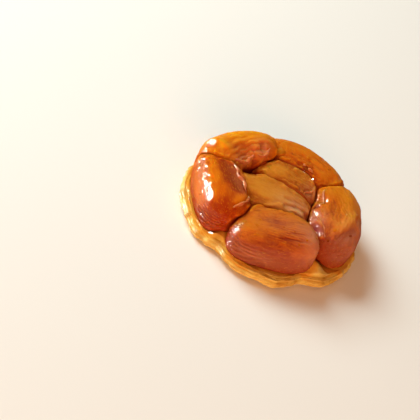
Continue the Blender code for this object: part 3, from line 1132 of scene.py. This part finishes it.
@dataclass(frozen=True)
class FruitBed:
    """All the pieces of fruit, pressed together on the pastry."""

    pastry: Pastry
    pieces: tuple[Fruit, ...]
    rows: int = 230
    columns: int = 280
    bed_gap: float = 0.05
    press_gap: float = 0.012
    gap_share: float = 0.8
    wander: float = 0.95
    wander_length: float = 12.0
    shoulder: float = 0.075
    furthest_reach: float = 1.35
    halvings: int = 18
    lip_height: float = 0.75
    lip_place: float = 0.11
    lip_width: float = 0.05
    pucker: float = 0.30
    flush_gap: float = 0.8
    flush_shoulder: float = 0.75
    press_fade: Pair = (0.20, 0.0)
    bed_fade: Pair = (2.2, 0.2)
    lip_patches: Pair = (-0.1, 0.4)
    lip_rise: Pair = (4.0, 8.0)
    pucker_start: Pair = (0.45, 0.12)
    pucker_end: Pair = (0.0, 0.06)
    crease_fade: Pair = (0.12, 0.0)
    bed_crease: Pair = (1.6, 0.2)
    syrup_fade: Pair = (0.42, 0.10)
    fold_shade: float = 0.34
    relief_shading: float = 0.16
    flush_seams: tuple[Triple, ...] = (
        (-48.0, 5.0, 10.0), (-38.0, 2.5, 9.0), (33.0, 27.0, 8.0), (27.0, 25.5, 6.0),
    )
    pits: tuple[tuple[float, float, float, float], ...] = (
        (-21.5, 9.0, 5.0, 5.0), (21.5, 10.6, 3.2, 3.0), (20.0, -4.6, 3.2, 3.0), (-15.5, -15.5, 3.5, 2.5),
    )

    def wandered(self, places: Places) -> Places:
        """Moves places by slow ripples, which makes the shared faces wander as soft fruit does."""
        shifts = (Ripples(seed, self.wander_length).at(places) for seed in (61, 62, 63))
        return tuple(place + self.wander * shift for place, shift in zip(places, shifts))

    def pressure(self, piece: Fruit | None, places: Places) -> Array:
        """Gives the least field of the other pieces, or of all of them where the piece is None."""
        return np.minimum.reduce([other.frame_field(places) for other in self.pieces if other is not piece])

    def pit_depth(self, x: Array, y: Array) -> Array:
        """Gives how far the skins sink where several pieces meet: a bell curve about each pit.

        Args:
            x: Places along X.
            y: Places along Y.

        Returns:
            The depths, in millimetres.
        """
        total = np.zeros_like(x)
        for pit_x, pit_y, radius, depth in self.pits:
            total += depth * np.exp(-((x - pit_x) ** 2 + (y - pit_y) ** 2) / radius**2)
        return total

    def flush(self, x: Array, y: Array) -> Array:
        """Gives 1 where two pieces join with hardly a seam, and 0 elsewhere.

        Args:
            x: Places along X.
            y: Places along Y.

        Returns:
            The greatest of the flattened bell curves about the seams.
        """
        share = np.zeros_like(x)
        for flush_x, flush_y, radius in self.flush_seams:
            share = np.maximum(share, np.exp(-((np.hypot(x - flush_x, y - flush_y) / radius) ** 4)))
        return share

    def room(self, piece: Fruit, places: Places) -> Array:
        """Gives how far a place lies on a piece's own side of its shared faces, as fields apart."""
        moved = self.wandered(places)
        return self.pressure(piece, moved) - piece.frame_field(moved)

    def plain_skin(self, piece: Fruit) -> Places:
        """Lays a grid over a piece's plain skin, from end to end and all the way round.

        Args:
            piece: The piece.

        Returns:
            The grid in the piece's own coordinates, where its field is 1.
        """
        lengthwise = np.linspace(0.0, math.pi, self.rows + 2)[1:-1, None]
        around = all_round(self.columns)
        along = -piece.half_length * np.cos(lengthwise) * np.ones_like(around)
        across = np.sin(lengthwise) * np.cos(around)
        across = across * np.where(across > 0.0, piece.outer_width, piece.inner_width)
        up = np.sin(lengthwise) * np.sin(around)
        up = up * np.where(up > 0.0, piece.crown, piece.root)
        size = piece.field((along, across, up))
        return along / size, across / size, up / size

    def pressed_reach(self, piece: Fruit, own: Places) -> Array:
        """Halves each ray again and again to find where it meets a neighbour or the pastry.

        Args:
            piece: The piece.
            own: Where its rays from its middle cross its plain skin.

        Returns:
            How far each ray gets, as a share of its length to the plain skin.
        """
        uneven_gap = Ripples(64, 9.0)

        def clear(reach: Array) -> Array:
            """Tells which rays are clear of the pastry and the neighbours at a reach.

            Args:
                reach: A share of each ray.

            Returns:
                True where a ray is clear.
            """
            x, y, z = piece.to_frame(grown(own, reach))
            gap = self.press_gap * (1.0 + self.gap_share * uneven_gap.at((x, y, z)))
            gap = gap * (1.0 - self.flush_gap * self.flush(x, y))
            return (z > self.pastry.bed_height(x, y) + self.bed_gap) & (self.room(piece, (x, y, z)) > gap)

        none = np.zeros_like(own[0])
        return furthest(clear, none, none + self.furthest_reach, self.halvings)

    def skin(self, piece: Fruit) -> Skin:
        """Makes a piece's surface along rays from its middle.

        A ray stops at the skin, less its folds, or sooner where it meets the shared face with a
        neighbour or the pastry. Fibres, pores and lips along the shared faces then move the places
        along their normals.

        Args:
            piece: The piece to make.

        Returns:
            The skin, with its tone, how dull it is, how much painted shade it takes next to a neighbour
            and just above the pastry, and its own coordinates.
        """
        own = self.plain_skin(piece)
        up, grain = own[2], Grain(100 + piece.seed)
        own_places = np.stack(own, axis=-1)
        relief = piece.relief(own, grain)
        from_middle = np.linalg.norm(own_places, axis=-1)
        free = 1.0 + piece.swell(own) + relief / from_middle
        x, y, _ = piece.to_frame(grown(own, free))
        free -= self.pit_depth(x, y) * np.clip(up / piece.crown, 0.0, 1.0) / from_middle

        low = self.pressed_reach(piece, own)
        x, y, _ = piece.to_frame(grown(own, low))
        reach = rounded_least(free, low, self.shoulder * (1.0 - self.flush_shoulder * self.flush(x, y)))
        skin = Skin(*piece.to_frame(grown(own, reach)))

        near = self.room(piece, (skin.x, skin.y, skin.z))
        above_bed = skin.z - self.pastry.bed_height(skin.x, skin.y)
        pressed = np.maximum(ease(near, *self.press_fade), ease(above_bed, *self.bed_fade))
        sunk = ease(skin.z, piece.middle_height + piece.crown - 1.0, piece.middle_height + 3.0)
        fibres = piece.fibres(own, grain)
        lips = bell((near - self.lip_place) / self.lip_width)
        lips *= ease(grain.at(own_places / 5.0), *self.lip_patches) * ease(above_bed, *self.lip_rise)
        puckers = grain.layered(own_places / 2.4, 2)
        puckers = puckers * ease(near, *self.pucker_start) * ease(near, *self.pucker_end)
        fine = piece.fibre_depth * fibres * (1.0 - pressed) + self.lip_height * lips + self.pucker * puckers
        skin = skin.raised(fine)

        tone, dull = piece.blush(own)
        folded = piece.fold_gain * piece.fold_depth(own) + piece.wrinkle_depth(own, grain)
        # Painted shade and light: folds and dents darker, ridges and lumps paler.
        tone -= self.fold_shade * np.clip(folded, -1.4, 1.4)
        tone += self.relief_shading * np.clip(relief + folded, -1.4, 1.0)
        flush = self.flush(skin.x, skin.y)
        # Painted shade: next to a neighbour and just above the pastry the skin darkens, more low on the piece
        # and less at flush seams.
        shade_nearness = np.maximum(ease(near, *self.crease_fade), ease(above_bed, *self.bed_crease))
        # Raised lips and puckers turn paler, a painted light; the fibres add their own streaks.
        skin.values["tone"] = tone + 0.5 * fine + piece.fibre_tone * fibres
        skin.values["dull"] = dull
        skin.values["crease"] = shade_nearness**1.4 * (0.2 + 0.8 * sunk) * (1.0 - flush)
        skin.values["syrup"] = ease(near, *self.syrup_fade) * (0.3 + 0.7 * sunk) * (1.0 - 0.8 * flush)
        skin.values["grain"] = own_places + piece.own_shift
        return skin

    def soak(self, places: Places) -> tuple[Array, Array]:
        """Gives how far caramel has spread over the pastry: most beside the fruit, and uneven. The soak also
        paints light on the pastry beside the fruit, where the fruit's shade falls.

        Args:
            places: Places on the pastry.

        Returns:
            How soaked the pastry is, and how much thick syrup lies on it, both from 0 to 1.
        """
        x, y, z = places
        near = self.pressure(None, (x, y, np.maximum(z, self.pastry.bed) + 1.5))
        uneven = Grain(77).layered(cells(places, 7.0, 7.0, 7.0), 3)
        on_top = ease(z, 4.5, 6.0)
        syrup = ease(near - 0.22 * uneven, 1.20, 1.00) * on_top
        return 0.8 * ease(near - 0.16 * uneven, 1.20, 1.03) * on_top, 0.7 * syrup


@dataclass(frozen=True)
class WetLip:
    """A thin wet roll along an edge of a piece. Its points are places on the piece's skin."""

    piece: str
    points: tuple[Pair, ...]
    thickness: float = 0.95
    steps: int = 120
    sides: int = 16
    blur: int = 21
    pointedness: float = 0.4
    swelling: float = 0.4
    sway: float = 0.8

    def smoothed(self, rows: Array) -> Array:
        """Takes the mean of each row and its neighbours, with the ends held."""
        padded = np.pad(rows, ((self.blur // 2, self.blur // 2), (0, 0)), mode="edge")
        return np.stack([padded[k:k + len(rows)] for k in range(self.blur)]).mean(axis=0)

    def skin(self, fruit: Fruit, carrier: Skin) -> Skin:
        """Carries a round profile along the places on the skin that are nearest to the points.

        The profile grows and shrinks with ripples, comes to a point at both ends and lies half sunk.

        Args:
            fruit: The piece that carries the lip.
            carrier: Its finished skin.

        Returns:
            The lip's skin, with the values that the finish of fruit reads.
        """
        own = (carrier.values["grain"] - fruit.own_shift).reshape(-1, 3)
        share, angle = own[:, 0] / fruit.half_length, np.degrees(np.arctan2(own[:, 2], own[:, 1]))
        given = np.array(self.points).T
        run = np.linspace(0.0, given.shape[1] - 1.0, self.steps)
        wanted = [np.interp(run, np.arange(given.shape[1]), row)[:, None] for row in given]
        from_share = (share - wanted[0]) * fruit.half_length
        from_angle = np.radians(angle - wanted[1]) * fruit.crown
        nearest = np.hypot(from_share, from_angle).argmin(axis=1)
        middle = self.smoothed(carrier.places().reshape(-1, 3)[nearest])
        normal = self.smoothed(carrier.outward().reshape(-1, 3)[nearest])
        forward = np.gradient(middle, axis=0)
        side = unit(np.cross(forward, normal))
        lift = unit(np.cross(side, forward))

        progress = np.linspace(0.0, 1.0, self.steps)
        size = self.thickness * (4.0 * progress * (1.0 - progress) + 0.01) ** self.pointedness
        size *= 1.0 + self.swelling * Ripples(fruit.seed, 5.0).at(middle.T)
        middle = middle + side * self.sway * Ripples(fruit.seed + 40, 8.0).at(middle.T)[:, None]
        turn = all_round(self.sides)[..., None]
        ring = np.cos(turn) * side[:, None, :] - np.sin(turn) * lift[:, None, :]
        return Skin.wet(middle[:, None, :] + size[:, None, None] * ring, 0.5)


@dataclass(frozen=True)
class SyrupDrops:
    """Small flat drops of syrup that cling to a piece of fruit round a place on its skin."""

    piece: str
    middle: Pair
    reach: float
    count: int
    seed: int
    sizes: Pair = (0.35, 0.85)
    flatness: float = 0.42
    rows: int = 9
    columns: int = 16

    def skins(self, fruit: Fruit, carrier: Skin) -> list[Skin]:
        """Makes each drop: a flattened ball, half sunk, longer one way, at a seeded place.

        Args:
            fruit: The piece that carries the drops.
            carrier: Its finished skin.

        Returns:
            The drops, with the values that the finish of fruit reads.
        """
        draw = np.random.default_rng(self.seed)
        own = (carrier.values["grain"] - fruit.own_shift).reshape(-1, 3)
        angle = np.arctan2(own[:, 2], own[:, 1])
        places, normals = carrier.places().reshape(-1, 3), carrier.outward().reshape(-1, 3)
        climb = np.linspace(math.pi, 0.0, self.rows + 2)[1:-1, None, None]
        turn = all_round(self.columns)[..., None]
        drops = []
        for _ in range(self.count):
            along = self.middle[0] * fruit.half_length + self.reach * draw.normal()
            direction = math.radians(self.middle[1]) + self.reach * draw.normal() / fruit.crown
            nearest = np.hypot(own[:, 0] - along, (angle - direction) * fruit.crown).argmin()
            lift = normals[nearest]
            first = np.cross(lift, draw.normal(size=3))
            first /= np.linalg.norm(first)
            second = np.cross(lift, first)
            size, stretch = draw.uniform(*self.sizes), draw.uniform(1.0, 1.8)
            flat = np.sin(climb) * (stretch * np.cos(turn) * first + np.sin(turn) * second)
            ball = places[nearest] + size * (flat + self.flatness * np.cos(climb) * lift)
            drops.append(Skin.wet(ball, carrier.values["tone"].ravel()[nearest]))
        return drops


@dataclass(frozen=True)
class Caramel:
    """The caramel that fills the seams between the pieces and the pits where several meet."""

    bed: FruitBed
    level: float = 0.985
    dive: float = 0.45
    seam_width: float = 0.22
    pit_scale: float = 14.0
    flush_fill: float = 0.035
    flush_dive: float = 0.6
    pool_height: float = 14.0
    pool_radius: float = 26.0
    edge_radius: float = 43.5
    slope_start: float = 14.0
    slope_end: float = 3.0
    sink: float = 2.4
    under: float = 3.6
    film: float = 0.2
    lowest: float = 17.0
    highest: float = 32.0
    rings: int = 150
    columns: int = 320
    halvings: int = 16
    finish: CaramelFinish = CaramelFinish()

    def seam_field(self, places: Places) -> Array:
        """Gives the least field of all the pieces, plus a rise away from where two are equally near.

        Its surface bridges the seams between the pieces and dives under their skins beside them.

        Args:
            places: Places over the tartlet.

        Returns:
            The raised field.
        """
        x, y, _ = places
        moved = self.bed.wandered(places)
        nearest = np.partition(np.stack([piece.frame_field(moved) for piece in self.bed.pieces]), 1, axis=0)
        sunk = self.bed.pit_depth(x, y) / self.pit_scale
        flush = self.bed.flush(x, y)
        apart = ease(nearest[1] - nearest[0], 0.0, self.seam_width)
        dive = self.dive * (1.0 - self.flush_dive * flush) * apart
        return nearest[0] + dive + sunk - self.flush_fill * flush

    def skin(self) -> Skin:
        """Makes a closed sheet of caramel over the middle of the tartlet.

        Its top is the highest place above each point where the seam field reaches its level. That is
        deep inside the fruit on a crown and above it in a seam. Where there is no fruit it is the pool,
        or a film on the pastry.

        Returns:
            The skin, with how deep the caramel is and how much like flesh it looks.
        """
        around = all_round(self.columns)
        out = np.linspace(0.006, 1.0, self.rings)[:, None] * self.edge_radius * np.ones_like(around)
        x, y = out * np.cos(around), out * np.sin(around)
        floor = self.bed.pastry.bed_height(x, y)
        fullness = ease(out, self.edge_radius, self.pool_radius)
        pool = floor + self.film + (self.pool_height - floor) * fullness
        low, high = np.full_like(x, self.lowest), np.full_like(x, self.highest)
        covered = self.seam_field((x, y, low)) < self.level
        seam = furthest(lambda z: self.seam_field((x, y, z)) < self.level, low, high, self.halvings)
        top = np.where(covered, np.maximum(seam, pool), pool)
        slope = ease(out, self.edge_radius - self.slope_start, self.edge_radius - self.slope_end)
        top = top - (top - floor + self.sink) * slope
        flush = self.bed.flush(x, y)
        depth = ease(self.bed.pressure(None, self.bed.wandered((x, y, top))), 1.0, 1.12) * (1.0 - flush)
        pairs = ((x, x), (y, y), (floor - self.under, top), (depth, depth), (flush, flush))
        *places, deep, flesh = [np.concatenate((first, second[::-1])) for first, second in pairs]
        return Skin(*places, {"depth": deep, "flesh": flesh})


@dataclass(frozen=True)
class PhotoCamera:
    """A long lens that looks down on the tartlet from the front, rolled as in the photograph."""

    elevation: float = 39.7
    roll: float = 28.0
    distance: float = 1000.0
    pixels_per_mm: float = 1.764
    picture_pixels: float = 420.0
    rim_pixel: Pair = (269.3, 217.15)
    rim_height: float = 4.5
    sensor: float = 36.0

    def axes(self) -> tuple[Vector, Vector, Vector]:
        """Works out the picture's right and up, and the way back to the camera.

        Returns:
            The three directions.
        """
        elevation, roll = math.radians(self.elevation), math.radians(self.roll)
        back = Vector((0.0, -math.cos(elevation), math.sin(elevation)))
        level, steep = Vector((1.0, 0.0, 0.0)), Vector((0.0, math.sin(elevation), math.cos(elevation)))
        right = level * math.cos(roll) + steep * math.sin(roll)
        upward = steep * math.cos(roll) - level * math.sin(roll)
        return right, upward, back

    def build(self) -> None:
        """Makes the camera. The rim's middle lands on its pixel, and the lens gives its scale."""
        right, upward, back = self.axes()
        middle = self.picture_pixels / 2.0
        beside = (self.rim_pixel[0] - middle) / self.pixels_per_mm
        below = (self.rim_pixel[1] - middle) / self.pixels_per_mm
        target = Vector((0.0, 0.0, self.rim_height)) - right * beside + upward * below
        data = bpy.data.cameras.new("photo_camera")
        data.sensor_width = self.sensor
        data.lens = self.sensor * self.distance * self.pixels_per_mm / self.picture_pixels
        data.clip_start, data.clip_end = 0.01, 50.0
        camera = placed("photo_camera", data)
        turned = Matrix((right, upward, back)).transposed().to_4x4()
        camera.matrix_world = Matrix.Translation((target + back * self.distance) * MM) @ turned
        bpy.context.scene.camera = camera


@dataclass(frozen=True)
class SoftLight:
    """A rectangular softbox that faces the tartlet."""

    name: str
    azimuth: float
    elevation: float
    distance: float
    width: float
    height: float
    power: float
    tint: Colour
    mirrored: bool = True
    lights: bool = True

    def build(self) -> None:
        """Places the light on its direction from the tartlet, facing back to it."""
        azimuth, elevation = math.radians(self.azimuth), math.radians(self.elevation)
        level = math.cos(elevation)
        way = Vector((level * math.cos(azimuth), level * math.sin(azimuth), math.sin(elevation)))
        data = bpy.data.lights.new(self.name, "AREA")
        data.shape = "RECTANGLE"
        data.size, data.size_y = self.width, self.height
        data.energy, data.color = self.power, self.tint
        light = placed(self.name, data)
        light.visible_glossy, light.visible_diffuse = self.mirrored, self.lights
        facing = way.to_track_quat("Z", "Y").to_matrix().to_4x4()
        light.matrix_world = Matrix.Translation(way * self.distance) @ facing


@dataclass(frozen=True)
class Studio:
    """The floor, the lights and the pale surroundings."""

    floor_size: float = 6.0
    surround: Colour = (1.0, 0.70, 0.48)
    surround_strength: float = 0.06
    floor_finish: FloorFinish = FloorFinish()
    lights: tuple[SoftLight, ...] = (
        SoftLight(
            "window", azimuth=173.0, elevation=11.0, distance=1.4, width=0.42, height=0.75, power=270.0,
            tint=(1.0, 0.94, 0.84), lights=False,
        ),
        SoftLight(
            "key", azimuth=157.0, elevation=38.0, distance=1.4, width=0.80, height=0.70, power=31.0,
            tint=(0.68, 0.90, 1.0), mirrored=False,
        ),
        SoftLight(
            "overhead", azimuth=120.0, elevation=80.0, distance=1.8, width=1.8, height=1.8, power=7.0,
            tint=(1.0, 0.64, 0.43), mirrored=False,
        ),
        SoftLight(
            "front_fill", azimuth=285.0, elevation=18.0, distance=1.8, width=1.5, height=1.0, power=30.0,
            tint=(1.0, 0.61, 0.37), mirrored=False,
        ),
    )

    def build(self) -> None:
        """Makes the floor, the lights and the world."""
        half = self.floor_size / 2.0
        mesh = bpy.data.meshes.new("floor")
        corners = [(-half, -half, 0.0), (half, -half, 0.0), (half, half, 0.0), (-half, half, 0.0)]
        mesh.from_pydata(corners, [], [(0, 1, 2, 3)])
        mesh.materials.append(self.floor_finish.material())
        floor = placed("floor", mesh)
        for light in self.lights:
            light.build()
        world = bpy.data.worlds.new("pale_room")
        world.use_nodes = True
        background = world.node_tree.nodes["Background"]
        background.inputs["Color"].default_value = (*self.surround, 1.0)
        background.inputs["Strength"].default_value = self.surround_strength
        bpy.context.scene.world = world
        bpy.context.scene.view_settings.view_transform = "Standard"
        log.info("studio: floor, %d lights and a pale room", len(self.lights))


PIECES = (
    Fruit(
        name="fruit_back_left", middle=(-34.2, 21.5), turn=49, half_length=26.9, inner_width=16,
        outer_width=10.4, taper=-0.08, crown=15.6, bend_radius=36, end_power=3.2, side_power=2.4,
        end_lift=0.06, seed=1, cooked=Cooked.AMBER, tone=0.72,
        folds=(
            Fold((-0.52, 130), (0.22, 124), 4.6, 1.4), Fold((-0.47, 106), (0.17, 119), 2, 0.9),
            Fold((-0.41, 131), (0.07, 128), 2, 0.8), Fold((-0.59, 150), (0.17, 134), 2.4, -0.9, 8),
            Fold((0.21, 133), (0.59, 128), 2.2, -1, 9), Fold((0.37, 121), (0.53, 115), 2.6, 1.8),
            Fold((0.19, 138), (0.26, 168), 2.4, 1.8), Fold((-0.52, 5), (-0.58, 118), 2.6, -1.9),
        ),
        blushes=(
            # The paler patch on the inner side at 125 degrees is painted light on a face the lamps leave in
            # shade.
            Blush((-0.18, 125), 15, 7.5, 0.34, 0.45), Blush((0.47, 122), 7, 7, -0.34, 0.65),
            Blush((-0.28, 150), 12, 5, -0.05, 0.75), Blush((0.07, 80), 22, 9, 0.25),
            Blush((-0.55, 75), 6, 12, -0.38),
        ),
        wrinkles=(Wrinkles((-0.05, 128), 17, 9, 3.4, 0.85, 0.12, 0.5),),
    ),
    Fruit(
        name="fruit_left", middle=(-33.5, -14.9), turn=119, half_length=27.2, inner_width=17.2,
        outer_width=12.6, taper=-0.12, crown=13.4, end_power=2.9, side_power=2.5, end_lift=-0.2, seed=2,
        cooked=Cooked.AMBER, tone=0.48, lump_depth=0.35, ridge_depth=0.1, fibre_depth=0.02, fibre_tone=0.04,
        crack_depth=0.1,
        folds=(
            Fold((0.68, 104), (-0.26, 93), 3.8, 0.5), Fold((0.16, 116), (-0.48, 113), 3, 0.9),
            Fold((0.26, 129), (-0.22, 143), 2.2, -0.8), Fold((-0.39, 138), (-0.78, 98), 2.2, -0.7),
            Fold((-0.48, -8), (-0.92, -28), 2, 0.9, 6),
        ),
        blushes=(
            Blush((0.22, 70), 24, 5.5, 0.1), Blush((0.22, 99), 20, 5.5, -0.25),
            Blush((-0.1, 126), 14, 6, -0.4, 0.25), Blush((-0.16, 0), 22, 9, 0.1, 0.1),
            # The darker patch low on the side at -22 degrees is partly painted shade, partly deeper caramel
            # colour.
            Blush((-0.84, 40), 8, 12, -0.3), Blush((-0.2, -22), 24, 5, -0.35),
        ),
        wrinkles=(Wrinkles((-0.74, -14), 8, 7, 2.3, 0.75, 0.12, 0.4),),
    ),
    Fruit(
        name="fruit_front", middle=(7.4, -31.2), turn=199, half_length=25.4, inner_width=20,
        outer_width=14.4, taper=0.13, crown=13.4, end_power=3, side_power=2.8, end_lift=-0.2, seed=3,
        cooked=Cooked.RUSSET, tone=0.5,
        folds=(
            Fold((0.1, 55), (-0.72, 63), 0.55, 0.5), Fold((0.04, 68), (-0.74, 84), 0.5, 0.32),
            Fold((0.42, 49), (0.12, 46), 2, 0.25), Fold((0.94, -3), (0.22, -6), 1.5, 1.5, -7),
            Fold((0.82, -22), (0.1, -24), 1.5, 1.4, 6), Fold((0.55, 108), (-0.3, 101), 3, 0.5),
        ),
        blushes=(
            Blush((0.62, 80), 9, 8, 0.14), Blush((-0.8, 68), 9, 11, 0.1, 0.95),
            # The darker patches on the outer side and low down are partly painted shade, partly deeper
            # caramel colour.
            Blush((0, 12), 26, 7, -0.3, 0.25), Blush((0.55, -5), 11, 5, -0.04, 0.45),
            Blush((-0.1, 100), 20, 9, 0, 0.2), Blush((0, -18), 28, 5, -0.3, 0.25),
        ),
        wrinkles=(
            Wrinkles((0.6, -8), 12, 7, 2.5, 0.95, 0.12, 0.45),
            Wrinkles((-0.2, 72), 15, 9, 1.6, 0.34, -0.08, 0.8),
        ),
    ),
    Fruit(
        name="fruit_right", middle=(35.6, 8.2), turn=281, half_length=29.2, inner_width=17.2,
        outer_width=14.4, crown=13, bend_radius=70, end_power=2.8, side_power=2.7, seed=4,
        cooked=Cooked.RUSSET, tone=0.6,
        folds=(
            Fold((0.82, 101), (-0.1, 57), 2.6, -1), Fold((0.82, 76), (0.25, 48), 3, 0.9),
            Fold((-0.52, 114), (0.4, 116), 4.2, 0.8), Fold((-0.03, 146), (0.04, 176), 2.4, 1.6),
            Fold((0.55, 20), (-0.35, 26), 2.2, 0.6, 5),
        ),
        blushes=(
            Blush((-0.35, 98), 20, 9, 0.2), Blush((0.55, 42), 15, 10, -0.1, 0.65),
            Blush((0.97, 110), 8, 14, -0.55), Blush((0.5, 142), 9, 5, -0.1, 0.55),
            # The darker patches on the outer side and low down are partly painted shade, partly deeper
            # caramel colour.
            Blush((0.75, 5), 12, 8, -0.3), Blush((0.3, -20), 26, 5, -0.35),
        ),
        wrinkles=(Wrinkles((0.1, 100), 16, 7, 2.6, 0.3, 0.25),),
    ),
    Fruit(
        name="fruit_back_right", middle=(4.3, 38.3), turn=-6, half_length=29, inner_width=14.8,
        outer_width=11.6, middle_height=16, crown=12.5, bend_radius=50, end_power=2.8, side_power=2.5,
        seed=5, cooked=Cooked.RUSSET, tone=0.53,
        folds=(
            Fold((-0.5, 108), (0.5, 111), 2.4, 0.8), Fold((-0.6, 130), (0.55, 133), 2.2, 0.9),
            Fold((-0.25, 85), (0.6, 78), 2.4, 0.5),
        ),
        # The paler patch on the inner side at 125 degrees is painted light on a face the lamps leave in
        # shade.
        blushes=(Blush((0, 84), 24, 7, 0.15), Blush((0, 125), 22, 8, 0.2),),
        wrinkles=(Wrinkles((0.1, 130), 14, 5, 2.2, 0.35, 0),),
    ),
    Fruit(
        name="fruit_center_front", middle=(-4.6, -3), turn=177.5, half_length=25.4, inner_width=18.2,
        outer_width=20.8, middle_height=12, crown=13.3, root=12, end_power=2.8, side_power=2.8, seed=6,
        cooked=Cooked.OCHRE, tone=0.5, lump_depth=0.3,
        folds=(
            Fold((-0.3, 61), (-0.94, 99), 1.7, 1.3), Fold((-0.24, 86), (-0.82, 106), 1.7, 0.8),
            Fold((0.55, 52), (0, 50), 2.4, 0.4),
        ),
        blushes=(
            Blush((-0.78, 66), 7, 10, 0.15, 0.85), Blush((-0.45, 75), 10, 10, 0.1, 0.35),
            Blush((0.2, 70), 14, 8, 0.15), Blush((0.1, 30), 18, 5, -0.4),
        ),
        wrinkles=(Wrinkles((-0.6, 95), 9, 6, 1.9, 0.3, 0.2),),
    ),
    Fruit(
        name="fruit_center_back", middle=(-0.3, 19.2), turn=-3, half_length=22, inner_width=17.2,
        outer_width=16, middle_height=12, crown=13.1, root=12, end_power=2.8, side_power=2.8, seed=7,
        cooked=Cooked.OCHRE, tone=0.45, lump_depth=0.3,
        folds=(Fold((0.5, 128), (0.8, 100), 1.9, 0.8), Fold((-0.42, 104), (0.15, 99), 2.2, 0.4),),
        blushes=(
            Blush((-0.42, 113), 6, 6, 0.35), Blush((0.75, 115), 6, 8, -0.1, 0.45),
            Blush((0, 128), 16, 4, -0.2),
        ),
        wrinkles=(Wrinkles((0.5, 100), 8, 6, 1.9, 0.3, 0.15),),
    ),
)


WET_LIPS = (
    WetLip("fruit_left", ((0.56, 124), (0.3, 125), (0.01, 128), (-0.27, 134), (-0.36, 141))),
    WetLip("fruit_left", ((-0.42, 141), (-0.6, 135), (-0.76, 114), (-0.84, 96)), 0.8),
    WetLip("fruit_right", ((-0.63, 136), (-0.4, 139), (-0.16, 142), (0, 156)), 0.75),
    WetLip("fruit_right", ((0.12, 162), (0.33, 154), (0.6, 134), (0.88, 115)), 0.7),
    WetLip("fruit_back_left", ((-0.66, 132), (-0.45, 145), (-0.2, 147), (0.05, 143), (0.2, 137)), 1.3),
    WetLip("fruit_back_left", ((0.23, 134), (0.44, 136), (0.62, 130), (0.66, 114)), 0.8),
    WetLip("fruit_center_back", ((0.55, 131), (0.7, 112), (0.78, 90)), 0.8),
    WetLip("fruit_back_right", ((-0.98, 100), (-0.9, 116), (-0.76, 126)), 1.1),
    WetLip("fruit_back_right", ((0, 124), (0.12, 131), (0.34, 133)), 1),
)

DROPS = (
    SyrupDrops("fruit_left", (-0.35, 38), 6, 9, 201), SyrupDrops("fruit_left", (-0.3, 120), 5, 5, 202),
    SyrupDrops("fruit_left", (0.5, 40), 5, 4, 203),
    SyrupDrops("fruit_front", (0.86, 84), 1.8, 7, 204, (0.8, 1.4)),
    SyrupDrops("fruit_front", (0.55, 78), 6, 8, 205), SyrupDrops("fruit_front", (-0.25, 90), 8, 6, 206),
    SyrupDrops("fruit_right", (-0.05, 125), 8, 8, 207), SyrupDrops("fruit_right", (0.6, 95), 6, 5, 208),
    SyrupDrops("fruit_back_right", (0.1, 112), 9, 7, 209),
    SyrupDrops("fruit_back_right", (-0.66, 127), 0.9, 4, 210, (1.1, 1.7)),
    SyrupDrops("fruit_back_right", (0.12, 134), 0.9, 4, 211, (1.1, 1.7)),
    SyrupDrops("fruit_center_back", (-0.62, 113), 1, 4, 212, (0.5, 0.9)),
)


class Tartlet:
    """The whole tartlet: pastry, caramel and fruit."""

    def __init__(self) -> None:
        """Lays the pieces out on the pastry."""
        self.pastry = Pastry()
        self.bed = FruitBed(self.pastry, PIECES)
        self.caramel = Caramel(self.bed)

    @staticmethod
    def dress(name: str, skins: list[Skin], material: bpy.types.Material, slot: str) -> bpy.types.Object:
        """Makes a piece from its skins, gives it its finish and lets it ride on the body.

        Args:
            name: The piece's name.
            skins: The closed surfaces that make it.
            material: Its finish.
            slot: The record's material slot; not used.

        Returns:
            The piece.
        """
        piece = object_of_skins(name, skins)
        piece.data.materials.append(material)
        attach(piece, "root")
        log.info("%s: %d faces", name, len(piece.data.polygons))
        return piece

    def build(self) -> None:
        """Makes the pastry, then the caramel, then each piece of fruit with its drops and lips."""
        skin = self.pastry.skin()
        skin.values["soak"], skin.values["syrup"] = self.bed.soak((skin.x, skin.y, skin.z))
        finish = self.pastry.finish
        pastry = self.dress("pastry_baked", [skin], finish.material(), finish.slot)
        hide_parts("pastry")

        finish = self.caramel.finish
        self.dress("caramel_pool", [self.caramel.skin()], finish.material(), finish.slot)

        materials = {cooked: cooked.value.material() for cooked in Cooked}
        for piece in self.bed.pieces:
            skin = self.bed.skin(piece)
            material, slot = materials[piece.cooked], piece.cooked.value.slot
            fruit = self.dress(piece.name + "_glazed", [skin], material, slot)
            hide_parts(piece.name)
            groups = [group.skins(piece, skin) for group in DROPS if group.piece == piece.name]
            drops = list(itertools.chain.from_iterable(groups))
            if drops:
                self.dress(piece.name + "_drops", drops, material, slot)
            lips = [lip.skin(piece, skin) for lip in WET_LIPS if lip.piece == piece.name]
            for number, lip in enumerate(lips, start=1):
                name = f"{piece.name}_lip_{number}"
                self.dress(name, [lip], materials[Cooked.LIP], Cooked.LIP.value.slot)


def main() -> None:
    """Builds the camera, the studio and the tartlet."""
    logging.basicConfig(level=logging.INFO, format="%(name)s: %(message)s")
    PhotoCamera().build()
    Studio().build()
    Tartlet().build()


if __name__ == "__main__":
    main()
